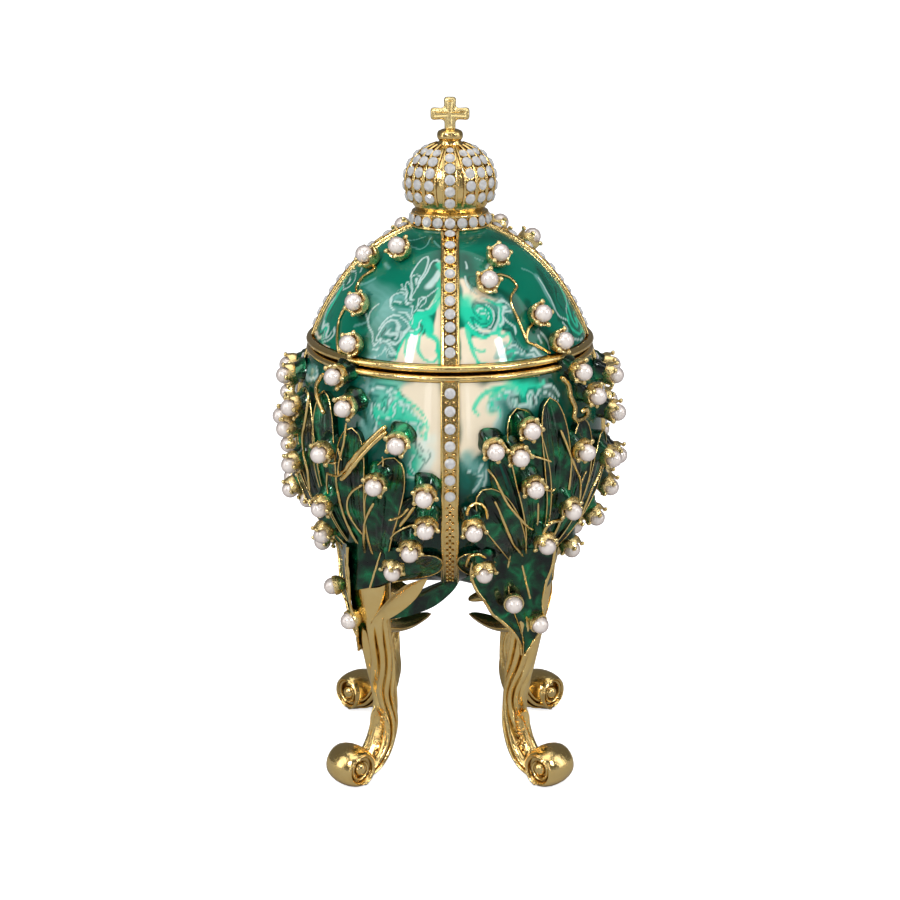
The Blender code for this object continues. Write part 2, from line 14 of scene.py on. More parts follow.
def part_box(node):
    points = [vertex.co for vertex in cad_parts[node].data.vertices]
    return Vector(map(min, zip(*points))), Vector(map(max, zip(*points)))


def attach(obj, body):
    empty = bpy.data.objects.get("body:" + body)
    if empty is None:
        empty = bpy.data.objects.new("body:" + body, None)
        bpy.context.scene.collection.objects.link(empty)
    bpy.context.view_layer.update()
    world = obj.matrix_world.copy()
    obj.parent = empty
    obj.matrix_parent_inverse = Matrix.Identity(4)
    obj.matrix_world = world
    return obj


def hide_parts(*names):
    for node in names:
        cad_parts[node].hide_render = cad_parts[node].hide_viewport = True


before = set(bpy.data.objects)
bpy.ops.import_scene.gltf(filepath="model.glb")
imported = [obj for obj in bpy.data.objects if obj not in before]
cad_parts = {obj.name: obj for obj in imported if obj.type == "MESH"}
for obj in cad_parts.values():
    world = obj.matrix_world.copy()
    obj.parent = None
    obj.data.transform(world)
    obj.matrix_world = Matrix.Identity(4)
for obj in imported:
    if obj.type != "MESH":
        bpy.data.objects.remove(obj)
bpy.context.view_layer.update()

# Bowl shell
# The lower two thirds of the egg, one thin casting in white metal. Outside it carries glossy
# enamel, dark and clear over the leaves and milky, marbled green beside the jewelled bands.
MM = 0.001
EGG_RADIUS, EGG_WIDEST, EGG_BOTTOM, EGG_TOP = 28.3, 63.0, 35.0, 103.0
WALL = 1.6
SEAM, SEAM_GAP = 80.3, 0.15
LIP_HEIGHT = 1.4
PANELS = {"front_left": 225.0, "front_right": 315.0, "back_right": 45.0, "back_left": 135.0}
# These panels carry the left design of enamel, flowers and stems, the other two the right one
LEFT_DESIGN = ("front_left", "back_right")


def polar(angle, radius, height):
    """A point in metres from an angle in degrees and two lengths in millimetres."""
    turn = math.radians(angle)
    return Vector((radius * math.cos(turn), radius * math.sin(turn), height)) * MM


def egg_half(above):
    """The egg's half height above its widest place, or below it."""
    return EGG_TOP - EGG_WIDEST if above else EGG_WIDEST - EGG_BOTTOM


def egg_slope(height):
    """Radius and outward normal of the egg at a height."""
    half = egg_half(height > EGG_WIDEST)
    share = max(-1.0, min(1.0, (height - EGG_WIDEST) / half))
    radius = EGG_RADIUS * math.sqrt(1.0 - share * share)
    return radius, Vector((radius / EGG_RADIUS ** 2, share / half)).normalized()


def on_egg(angle, height, lift=0.0):
    """A point at a lift above the enamelled surface."""
    radius, normal = egg_slope(height)
    return polar(angle, radius + lift * normal.x, height + lift * normal.y)


def egg_normal(angle, height):
    """The outward direction of the egg's skin at a place."""
    normal = egg_slope(height)[1]
    return polar(angle, normal.x, normal.y).normalized()


def let_go():
    """Nothing stays selected, because each operator acts on all that is."""
    bpy.ops.object.select_all(action="DESELECT")


def finished(name, finish, smooth=35.0):
    """Name the piece just made, give it its finish and let it ride with the box."""
    piece = bpy.context.active_object
    piece.name = piece.data.name = name
    piece.data.materials.clear()
    piece.data.materials.append(finish)
    if smooth:
        bpy.ops.object.shade_smooth_by_angle(angle=math.radians(smooth))
    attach(piece, "root")
    let_go()
    return piece


def formed(columns, rows, where, closed=False):
    """A grid whose points are moved to where(u, v); seams and poles are then merged."""
    let_go()
    bpy.ops.mesh.primitive_grid_add(x_subdivisions=columns, y_subdivisions=rows, size=2.0)
    piece = bpy.context.active_object
    for point in piece.data.vertices:
        point.co = where(0.5 * (point.co.x + 1.0), 0.5 * (point.co.y + 1.0))
    bpy.ops.object.mode_set(mode="EDIT")
    bpy.ops.mesh.select_all(action="SELECT")
    bpy.ops.mesh.remove_doubles(threshold=2e-6)
    if closed:
        bpy.ops.mesh.normals_make_consistent(inside=False)
    bpy.ops.object.mode_set(mode="OBJECT")
    return piece


def egg_skin(columns, rows, low, high):
    """The egg's skin between two heights, in rows of even steps round its curve."""
    def latitude(height):
        share = (height - EGG_WIDEST) / egg_half(height > EGG_WIDEST)
        return math.asin(max(-1.0, min(1.0, share)))

    start, end = latitude(low), latitude(high)

    def where(u, v):
        turn = start + (end - start) * v
        height = EGG_WIDEST + egg_half(turn > 0.0) * math.sin(turn)
        return polar(360.0 * u, EGG_RADIUS * math.cos(turn), height)

    return formed(columns, rows, where)


def add(tree, kind, settings=None, **inputs):
    """A shader node with its settings, and its inputs set or linked by name."""
    node = tree.nodes.new("ShaderNode" + kind)
    for name, value in (settings or {}).items():
        setattr(node, name, value)
    for name, value in inputs.items():
        socket = node.inputs[name.replace("_", " ")]
        if isinstance(value, bpy.types.NodeSocket):
            tree.links.new(value, socket)
        else:
            socket.default_value = value
    return node


def new_material(name, **inputs):
    """A material with a Principled shader and its plain values."""
    mat = bpy.data.materials.new(name)
    mat.use_nodes = True
    shader = mat.node_tree.nodes["Principled BSDF"]
    for socket, value in inputs.items():
        shader.inputs[socket.replace("_", " ")].default_value = value
    return mat, mat.node_tree, shader


def surface_group():
    """Hand-made surface: broad tone, fine specks and a height, shared by every finish.

    The contrast, from 0 to 1, is how far the tone and the specks stray from one half.
    """
    group = bpy.data.node_groups.new("hand_finish", "ShaderNodeTree")
    for name, value in (("Scale", 400.0), ("Contrast", 0.5)):
        socket = group.interface.new_socket(name, in_out="INPUT", socket_type="NodeSocketFloat")
        socket.default_value = value
    for name in ("Tone", "Speck", "Height"):
        group.interface.new_socket(name, in_out="OUTPUT", socket_type="NodeSocketFloat")
    start = group.nodes.new("NodeGroupInput")
    end = group.nodes.new("NodeGroupOutput")
    where = add(group, "TexCoord").outputs["Object"]
    scale, contrast = start.outputs["Scale"], start.outputs["Contrast"]
    broad = add(group, "TexNoise", Vector=where, Scale=scale, Detail=3.0, Distortion=0.6)
    finer = add(group, "Math", {"operation": "MULTIPLY"}, Value=scale)
    finer.inputs[1].default_value = 6.0
    fine = add(group, "TexNoise", Vector=where, Scale=finer.outputs[0], Detail=4.0)
    low = add(group, "Math", {"operation": "MULTIPLY_ADD"}, Value=contrast)
    low.inputs[1].default_value = -0.5
    low.inputs[2].default_value = 0.5
    high = add(group, "Math", {"operation": "SUBTRACT"})
    high.inputs[0].default_value = 1.0
    group.links.new(low.outputs[0], high.inputs[1])
    for source, target in ((broad, "Tone"), (fine, "Speck")):
        spread = add(group, "MapRange", Value=source.outputs["Fac"])
        spread.inputs["From Min"].default_value = 0.3
        spread.inputs["From Max"].default_value = 0.7
        group.links.new(low.outputs[0], spread.inputs["To Min"])
        group.links.new(high.outputs[0], spread.inputs["To Max"])
        group.links.new(spread.outputs[0], end.inputs[target])
    mixed = add(group, "Math", {"operation": "ADD"}, Value=broad.outputs["Fac"])
    group.links.new(fine.outputs["Fac"], mixed.inputs[1])
    group.links.new(mixed.outputs[0], end.inputs["Height"])
    return group


hand_finish = surface_group()


def with_hand_finish(tree, shader, scale, contrast, roughness, bump):
    """Roughness and relief from the hand finish; gives back its tone."""
    surface = add(tree, "Group", {"node_tree": hand_finish}, Scale=scale, Contrast=contrast)
    rough = add(tree, "MapRange", Value=surface.outputs["Speck"])
    rough.inputs["To Min"].default_value, rough.inputs["To Max"].default_value = roughness
    tree.links.new(rough.outputs[0], shader.inputs["Roughness"])
    relief = add(tree, "Bump", Height=surface.outputs["Height"], Strength=bump, Distance=0.0001)
    tree.links.new(relief.outputs["Normal"], shader.inputs["Normal"])
    return surface.outputs["Tone"]


def two_tone(tree, factor, dark, light):
    """A colour between two, by a factor."""
    mixed = add(tree, "Mix", {"data_type": "RGBA"})
    tree.links.new(factor, mixed.inputs[0])
    mixed.inputs[6].default_value = (*dark, 1.0)
    mixed.inputs[7].default_value = (*light, 1.0)
    return mixed.outputs[2]


def gilt(name, dark, light, roughness, bump):
    """Thin gilding: bright where it is rubbed, with painted shade darkening it in its hollows."""
    mat, tree, shader = new_material(name, Metallic=1.0)
    tone = with_hand_finish(tree, shader, 420.0, 0.4, roughness, bump)
    colour = two_tone(tree, tone, dark, light)
    # Painted shade: ambient occlusion darkens the gilding towards dark brown in its hollows and
    # between parts
    hollow = add(tree, "AmbientOcclusion", {"samples": 6}, Distance=0.0016)
    depth = add(tree, "MapRange", Value=hollow.outputs["AO"])
    depth.inputs["From Min"].default_value = 0.05
    depth.inputs["From Max"].default_value = 0.6
    hollow_shade = add(tree, "Mix", {"data_type": "RGBA"})
    tree.links.new(depth.outputs[0], hollow_shade.inputs[0])
    hollow_shade.inputs[6].default_value = (0.3, 0.17, 0.05, 1.0)
    tree.links.new(colour, hollow_shade.inputs[7])
    tree.links.new(hollow_shade.outputs[2], shader.inputs["Base Color"])
    return mat


bright_gold = gilt("bright_gold", (0.9, 0.6, 0.2), (1.0, 0.78, 0.36), (0.08, 0.22), 0.5)
satin_gold = gilt("satin_gold", (0.95, 0.68, 0.25), (1.0, 0.84, 0.45), (0.2, 0.36), 0.7)

marbled, tree, shader = new_material("marbled_enamel", Coat_Weight=0.55, Coat_Roughness=0.02,
                                     Specular_IOR_Level=0.1)
tone = with_hand_finish(tree, shader, 120.0, 0.5, (0.1, 0.25), 0.1)
glaze = add(tree, "Attribute", {"attribute_name": "glaze"})
cloud = two_tone(tree, tone, (0.8, 0.8, 0.8), (1.0, 1.0, 1.0))
clouded = add(tree, "Mix", {"data_type": "RGBA", "blend_type": "MULTIPLY"})
clouded.inputs[0].default_value = 1.0
tree.links.new(glaze.outputs["Color"], clouded.inputs[6])
tree.links.new(cloud, clouded.inputs[7])
tree.links.new(clouded.outputs[2], shader.inputs["Base Color"])

EMERALD = (0.0, 0.165, 0.1)
DEEP = (0.0, 0.07, 0.042)
NIGHT = (0.0, 0.016, 0.01)
MINT = (0.02, 0.62, 0.38)
MILK = (0.62, 0.8, 0.76)
CREAM = (0.81, 0.71, 0.54)
TEAL = (0.0, 0.13, 0.1)
SMOKE = (0.16, 0.42, 0.38)
STRENGTH = {MILK: 0.75, SMOKE: 0.7, MINT: 0.88, CREAM: 1.0, NIGHT: 0.9, TEAL: 0.7}
# Glazes that are combed where a stroke is at least as soft as BROAD
COMBED = (MILK, SMOKE, MINT, TEAL)
BROAD = 0.55


def rounded(line, step=0.35):
    """A smooth line through a few points, as even short steps."""
    ends = [line[0]] + list(line) + [line[-1]]
    points = []
    for before, start, end, after in zip(ends, ends[1:], ends[2:], ends[3:]):
        before, start, end, after = (np.array(p, float) for p in (before, start, end, after))
        pieces = max(2, int(np.linalg.norm((end - start)[:2]) / step))
        for index in range(pieces):
            t = index / pieces
            points.append(0.5 * (2 * start + (end - before) * t
                                 + (2 * before - 5 * start + 4 * end - after) * t * t
                                 + (3 * start - before - 3 * end + after) * t ** 3))
    points.append(np.array(line[-1], float))
    return points


HEIGHTS = np.linspace(EGG_BOTTOM, EGG_TOP, 1361)
RADII = np.array([egg_slope(height)[0] for height in HEIGHTS])
RISES = np.concatenate([[0.0], np.cumsum(np.hypot(np.diff(RADII), np.diff(HEIGHTS)))])


def laid_flat(offset, height):
    """Millimetres along and up a panel, as if its enamel were laid out flat."""
    return np.stack([np.radians(offset) * np.interp(height, HEIGHTS, RADII),
                     np.interp(height, HEIGHTS, RISES)], axis=-1)


def stirred(flat, stirs):
    """Where each spot of the glaze was poured, before a needle stirred it round each centre."""
    for offset, height, reach, degrees in reversed(stirs):
        away = flat - laid_flat(offset, height)
        turn = -np.radians(degrees) * np.exp(-(away ** 2).sum(-1) / reach ** 2)
        cos, sin = np.cos(turn), np.sin(turn)
        flat = flat - away + np.stack([away[:, 0] * cos - away[:, 1] * sin,
                                       away[:, 0] * sin + away[:, 1] * cos], axis=-1)
    return flat


def brushed(flat, base, strokes):
    """Paint tapering strokes of glaze one over another; broad soft ones are faintly combed."""
    shades = base.copy()
    for colour, start, end, soft, line in strokes:
        line = np.array(line)
        path = rounded(laid_flat(line[:, 0], line[:, 1]), 0.5)
        reach = 3.0 * max(start, end) + 0.1
        low, high = np.min(path, axis=0) - reach, np.max(path, axis=0) + reach
        near = np.flatnonzero(((flat > low) & (flat < high)).all(axis=1))
        if not len(near):
            continue
        spots = flat[near]
        away = np.full(len(spots), reach)
        half = np.full(len(spots), start)
        steps = len(path) - 1
        for index, (here, there) in enumerate(zip(path, path[1:])):
            way = there - here
            share = np.clip((spots - here) @ way / max((way ** 2).sum(), 1e-9), 0.0, 1.0)
            gap = np.linalg.norm(spots - here - share[:, None] * way, axis=1)
            closer = gap < away
            away[closer] = gap[closer]
            half[closer] = start + (end - start) * (index + share[closer]) / steps
        cover = np.clip((half * (1.0 + soft) - away) / (2.0 * soft * half), 0.0, 1.0)
        cover = cover * cover * (3.0 - 2.0 * cover)
        if soft >= BROAD and colour in COMBED:
            cover *= 0.9 + 0.1 * np.sin(2.0 * math.pi * away / 1.1 + 3.0 * half)
        if soft < BROAD and colour == MILK:
            shadow = 0.35 * np.clip((2.6 * half - away) / (1.2 * half), 0.0, 1.0)[:, None]
            shades[near] = shades[near] * (1.0 - shadow) + np.array(TEAL) * shadow
        cover = (cover * STRENGTH.get(colour, 0.8))[:, None]
        shades[near] = shades[near] * (1.0 - cover) + np.array(colour) * cover
    return shades


def marble(skin, base, top, glazes, stirs):
    """Paint a skin's glaze panel by panel, dark below a height, and stir it."""
    count = len(skin.data.vertices)
    places = np.empty(count * 3)
    skin.data.vertices.foreach_get("co", places)
    places = places.reshape(count, 3) / MM
    angles = np.degrees(np.arctan2(places[:, 1], places[:, 0])) % 360.0
    shades = np.ones((count, 4))
    for panel, middle in PANELS.items():
        offsets = (angles - middle + 180.0) % 360.0 - 180.0
        chosen = np.abs(offsets) <= 45.0
        design = 0 if panel in LEFT_DESIGN else 1
        flat = stirred(laid_flat(offsets[chosen], places[chosen, 2]), stirs[design])
        x, y = flat[:, 0], flat[:, 1]
        flat = flat + 0.1 * np.stack([np.sin(1.3 * y + 1.1 * np.sin(0.8 * x)),
                                      np.sin(1.5 * x + 1.2 * np.sin(0.7 * y) + 1.0)], axis=-1)
        deep = np.clip((top - places[chosen, 2]) / 8.0, 0.0, 1.0)[:, None]
        ground = np.array(base) * (1.0 - deep) + np.array(NIGHT) * deep
        shades[chosen, :3] = brushed(flat, ground, glazes[design])
    glaze = skin.data.attributes.new("glaze", "FLOAT_COLOR", "POINT")
    glaze.data.foreach_set("color", shades.ravel())


# Strokes of glaze: colour, half widths at start and end, softness, and a line of
# (degrees from the panel's middle, height); stirs: degrees, height, reach and turn
BOWL_LEFT_GLAZE = (
    (DEEP, 2.38, 2.38, 0.8, ((-14.4, 71.9), (3.1, 68.3), (13.4, 66.5))),
    (TEAL, 2.11, 2.9, 0.7, ((9.6, 77.8), (12.2, 71.6), (22.4, 64.4), (33.2, 59.5), (38.5, 58.2))),
    (SMOKE, 3.17, 2.9, 0.8, ((18.7, 76.1), (25.1, 74.1), (29.9, 71.5), (33.3, 68.5),
     (34.4, 64.9))),
    (MILK, 2.38, 1.85, 0.9, ((23.5, 76.3), (29.6, 74.3), (34.2, 71.6), (36, 68.6))),
    (MINT, 2.22, 1.9, 0.9, ((21, 76.7), (28.4, 75), (34.2, 72.1), (36, 68.6))),
    (CREAM, 2.9, 2.51, 0.35, ((35.4, 77.4), (38.5, 72.7), (39.1, 67.6), (39.1, 64))),
    (CREAM, 1.32, 0.79, 0.5, ((29.2, 77.2), (32.8, 75.9), (35.6, 75.2))),
    (SMOKE, 1.58, 1.58, 0.8, ((15.8, 72.4), (17.3, 70.7), (15.1, 68.7))),
    (MINT, 1.27, 1.27, 0.8, ((19.1, 74.6), (24.2, 72.3), (29.9, 71.3))),
    (MINT, 1.27, 0.95, 0.7, ((33.3, 67), (32.8, 64.4), (31.2, 62.4))),
    (SMOKE, 1.06, 1.06, 0.7, ((13.4, 76.8), (18.5, 77.1), (22.3, 76.5))),
    (MILK, 1.58, 0.79, 0.9, ((36.5, 68.6), (36.5, 65), (35, 62.3))),
    (MILK, 0.14, 0.2, 0.4, ((28.4, 74.7), (24.1, 76.3), (19, 77.3), (13.5, 76.5), (12.1, 74.7))),
    (MILK, 0.18, 0.14, 0.4, ((28.4, 74.7), (24.8, 75.8), (21.2, 75.9), (17.9, 74.5),
     (15.8, 72.4))),
    (MILK, 0.18, 0.14, 0.4, ((28.7, 75), (25.8, 76.6), (22.1, 77.3))),
    (TEAL, 0.18, 0.13, 0.4, ((28.1, 74.7), (23.7, 75.6), (18.7, 76.3), (13.8, 75.5))),
    (TEAL, 0.18, 0.13, 0.4, ((28.9, 75.2), (26.4, 76.9), (23.2, 77.8), (17, 77.7), (10, 76.8))),
    (MINT, 0.38, 0.22, 0.4, ((27.4, 74.2), (22.7, 74.5), (19.3, 73.6), (17.8, 72), (19.7, 70.8))),
    (MINT, 0.29, 0.19, 0.4, ((26.4, 76.7), (28.4, 75), (32.9, 74.4), (36.3, 72.2), (37, 69.7))),
    (MILK, 0.18, 0.14, 0.4, ((25.9, 72.4), (26.4, 73.2), (30.2, 73.5), (32.6, 72.1), (31, 71.3),
     (27.7, 71.4))),
    (MILK, 0.22, 0.18, 0.4, ((19.3, 73.3), (22.8, 74), (26.9, 73.7), (30.8, 74.1))),
    (MILK, 0.2, 0.18, 0.4, ((19.5, 72.1), (23.1, 71.5), (27.7, 70.9), (33.2, 70.6), (35.3, 71.2))),
    (MILK, 0.2, 0.18, 0.4, ((14.9, 73.6), (17.2, 71.4), (16.3, 69.3))),
    (TEAL, 0.26, 0.18, 0.4, ((13, 76), (14.1, 74.3), (17.1, 72.4), (15.6, 70))),
    (TEAL, 0.26, 0.21, 0.4, ((19, 75.1), (15.1, 75.4), (12.9, 74), (14, 72.3))),
    (DEEP, 0.42, 0.26, 0.5, ((13.1, 75.8), (11.8, 73.4), (12.9, 70.9))),
    (MINT, 0.25, 0.19, 0.4, ((33.1, 72.1), (35.3, 72.2), (35.3, 70.6), (32.7, 70.1))),
    (TEAL, 0.21, 0.16, 0.35, ((34.6, 69.1), (36.8, 67.3), (36, 65.2), (33.1, 62.6), (31, 63.1),
     (30.2, 64.5))),
    (TEAL, 0.18, 0.16, 0.35, ((34.6, 69.1), (33.6, 67.3), (34.7, 65.7), (36, 65.2))),
    (MILK, 0.2, 0.14, 0.4, ((31.8, 66.2), (30.7, 64.3), (32.3, 62.7))),
    (MILK, 0.24, 0.2, 0.5, ((28, 63.6), (30.2, 62.1), (36, 62), (38.6, 62.6))),
    (MILK, 0.2, 0.14, 0.4, ((33.9, 61.4), (37, 61.7), (39.7, 62.4))),
    (TEAL, 1.06, 0.69, 0.5, ((24.6, 60.5), (33.3, 60.6), (39.6, 60.7))),
    (DEEP, 1.32, 1.06, 0.6, ((20.1, 61.6), (24.4, 59.1), (33.1, 58.1), (38.5, 58.2))),
    (SMOKE, 0.53, 0.37, 0.5, ((11, 71), (13.2, 69.1), (12.1, 67.5))),
    (CREAM, 0.53, 0.53, 0.4, ((-43.6, 73.6), (-43.9, 74.2))),
    (SMOKE, 0.9, 0.69, 0.5, ((-33.8, 75.6), (-24.1, 77.2), (-19.8, 76.6), (-24.9, 75.3))),
    (MILK, 0.34, 0.24, 0.5, ((-32, 75), (-23.3, 75.4), (-18.5, 76.7), (-21.1, 77.5))),
    (TEAL, 0.32, 0.21, 0.4, ((-21.2, 75.1), (-15.8, 76.7), (-13.9, 78.5))),
    (SMOKE, 0.53, 0.37, 0.6, ((-5.7, 67.4), (-3.3, 68.5), (-3.9, 67.1))),
    (NIGHT, 4.49, 6.33, 0.7, ((-11.2, 63.6), (1.9, 57.3), (18.6, 49.7), (40.3, 47.3))),
)
BOWL_RIGHT_GLAZE = (
    (DEEP, 3.17, 2.9, 0.8, ((9.6, 73.7), (-4.5, 69.7), (-23.7, 61.8), (-38.3, 53.8))),
    (TEAL, 2.38, 2.9, 0.7, ((-7.1, 75.6), (-18, 74.5), (-23.3, 71.8), (-29.3, 64.8),
     (-37.2, 62.3))),
    (SMOKE, 1.85, 2.11, 0.8, ((-12.6, 75.7), (-21.4, 75.7), (-27.5, 74.2), (-30, 72))),
    (MILK, 1.58, 1.32, 0.9, ((-17.8, 75.5), (-24.9, 76.3), (-29.8, 74.3), (-30.6, 71.5))),
    (MINT, 1.27, 1.58, 0.9, ((-8.2, 76.4), (-18.6, 77.3), (-27.2, 76.4), (-32, 74.3))),
    (CREAM, 2.9, 1.85, 0.35, ((-37.3, 76.7), (-36.5, 72.7), (-37.2, 68.6), (-38.8, 67.1))),
    (CREAM, 1.58, 0.79, 0.5, ((-31.8, 76.3), (-28.2, 77.5), (-23.3, 77.9))),
    (CREAM, 1.58, 1.32, 0.4, ((-33.2, 73.1), (-32.8, 70.6), (-35.6, 68.6))),
    (DEEP, 1.58, 1.58, 0.6, ((-6.8, 76.3), (1.1, 76.5), (1.1, 73.2))),
    (MINT, 0.31, 0.5, 0.4, ((-34.8, 73.7), (-36.1, 74.4), (-34.6, 75.9), (-30.5, 77),
     (-25.8, 77.6))),
    (MINT, 0.44, 0.64, 0.5, ((-28.4, 76.2), (-25.8, 77.4), (-20.3, 77.8), (-14.7, 77.4))),
    (MINT, 0.38, 0.25, 0.4, ((-6.3, 77.6), (-9.4, 77), (-14.9, 76.9), (-21.2, 76.9))),
    (TEAL, 0.26, 0.21, 0.4, ((-21.9, 76.2), (-19.2, 74.8), (-14.3, 74.3), (-8.9, 74.5),
     (-7.2, 75.4))),
    (TEAL, 0.24, 0.18, 0.4, ((-20.6, 76.7), (-16.8, 77), (-10.3, 76.6), (-3.6, 75.1))),
    (MILK, 0.22, 0.2, 0.4, ((-20.2, 75.9), (-16.4, 76.2), (-11.3, 75.6), (-8.9, 74.7))),
    (MILK, 0.22, 0.2, 0.4, ((-17.9, 75), (-14.1, 75.3), (-10.9, 74.9), (-13, 74.5))),
    (MILK, 0.2, 0.14, 0.4, ((-15, 76.5), (-9.7, 76.2), (-4.4, 75.2), (-0.3, 73.8))),
    (MILK, 0.2, 0.14, 0.4, ((-22.8, 74.8), (-26.2, 75.7), (-28.6, 75), (-29.3, 73.5))),
    (MINT, 0.25, 0.19, 0.4, ((-21.7, 74.2), (-25.7, 74.9), (-27.6, 74), (-27.7, 72.4))),
    (DEEP, 0.26, 0.21, 0.4, ((-19.4, 76.5), (-21.4, 75.9), (-20.4, 74.9))),
    (MILK, 0.24, 0.18, 0.5, ((-6.7, 76.6), (-2.2, 76.5), (0.2, 74.8))),
    (NIGHT, 0.26, 0.21, 0.5, ((-15.3, 75.6), (-11.5, 75.1), (-10.3, 74.6))),
    (SMOKE, 1.58, 1.06, 0.7, ((-38.3, 65.5), (-34.6, 62.8), (-33.4, 60.1))),
    (SMOKE, 0.79, 0.53, 0.6, ((-39.3, 66.1), (-34.6, 64.9), (-32.5, 63.3))),
    (DEEP, 0.53, 0.32, 0.5, ((-38.8, 63.7), (-37.2, 61.5), (-37.7, 59.6))),
    (MILK, 0.24, 0.2, 0.5, ((-38.3, 64), (-33.5, 63.3), (-32.9, 60.9), (-34.4, 58.7))),
    (MILK, 0.2, 0.14, 0.5, ((-37.2, 62.6), (-35.1, 62.3), (-35.1, 60.7), (-36.6, 59.6))),
    (TEAL, 0.32, 0.24, 0.5, ((-33, 64.1), (-31.4, 61.4), (-32.3, 58.6))),
    (SMOKE, 0.63, 0.53, 0.6, ((2.7, 66.1), (10.1, 67), (19.4, 65.3))),
    (MILK, 0.21, 0.16, 0.6, ((2.7, 66.7), (9.1, 66.5), (15.4, 65), (19.4, 63.1))),
    (NIGHT, 4.49, 6.33, 0.7, ((19.4, 63.1), (1.2, 56.9), (-14.3, 49.3), (-37.3, 47.2))),
)
BOWL_STIRS = (
    ((24.0, 74.0, 1.8, 140), (33.0, 70.5, 1.6, -120), (18.0, 74.0, 1.4, -130),
     (37.0, 67.0, 1.2, 90)),
    ((-20.0, 75.5, 1.8, -150), (-29.0, 74.0, 1.5, 120), (-35.0, 64.0, 1.4, 110),
     (-12.0, 75.0, 1.3, 120)),
)
bowl = egg_skin(560, 150, EGG_BOTTOM, SEAM - SEAM_GAP - LIP_HEIGHT)
marble(bowl, DEEP, 66.0, (BOWL_LEFT_GLAZE, BOWL_RIGHT_GLAZE), BOWL_STIRS)
bowl = finished("bowl_enamel", marbled)
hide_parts("bowl")

# Bowl lining and rim
# The inside of the bowl, its low collar that centres the lid and its rounded rim, all part of
# the same casting, gilt and polished.


def turned(profile, sides):
    """A skin turned round the axis from a profile that runs upwards on its outside."""
    rows = len(profile) - 1
    return formed(sides, rows, lambda u, v: polar(360.0 * u, *profile[round(v * rows)]))


def bead(radius, height, half_height, proud, steps=8):
    """Profile of a half-round moulding."""
    turns = [math.pi * (step / steps - 0.5) for step in range(steps + 1)]
    return [(radius + proud * math.cos(turn), height + half_height * math.sin(turn))
            for turn in turns]


RIM_HALF, RIM_PROUD, RIM_EDGE = 0.7, 0.95, 0.02
COLLAR_HEIGHT, COLLAR_PLAY, COLLAR_WALL = 1.3, 0.3, 1.2
seam_radius = egg_slope(SEAM)[0]
rim_top = SEAM - SEAM_GAP
rim_face = seam_radius + 0.2
inner = seam_radius - WALL
collar_out = inner - COLLAR_PLAY
collar_in = collar_out - COLLAR_WALL
lining = bead(seam_radius, rim_top - RIM_EDGE - RIM_HALF, RIM_HALF, RIM_PROUD)
lining += [(rim_face, rim_top), (collar_out, rim_top), (collar_out, rim_top + COLLAR_HEIGHT),
           (collar_in, rim_top + COLLAR_HEIGHT), (collar_in, rim_top - 2.6)]
for step in range(25):
    turn = math.radians(27.0 - 117.0 * step / 24)
    lining.append((max(0.0, (EGG_RADIUS - WALL) * math.cos(turn)),
                   EGG_WIDEST + (egg_half(turn > 0.0) - WALL) * math.sin(turn)))
turned(lining, 128)
bowl_lining = finished("bowl_rim_and_lining", bright_gold)

# Lid shell
# The top of the egg, a thin casting like the bowl. Its four fields are filled with marbled
# enamel: emerald at the top, milky swirls below, and cream along the bands and the rim.


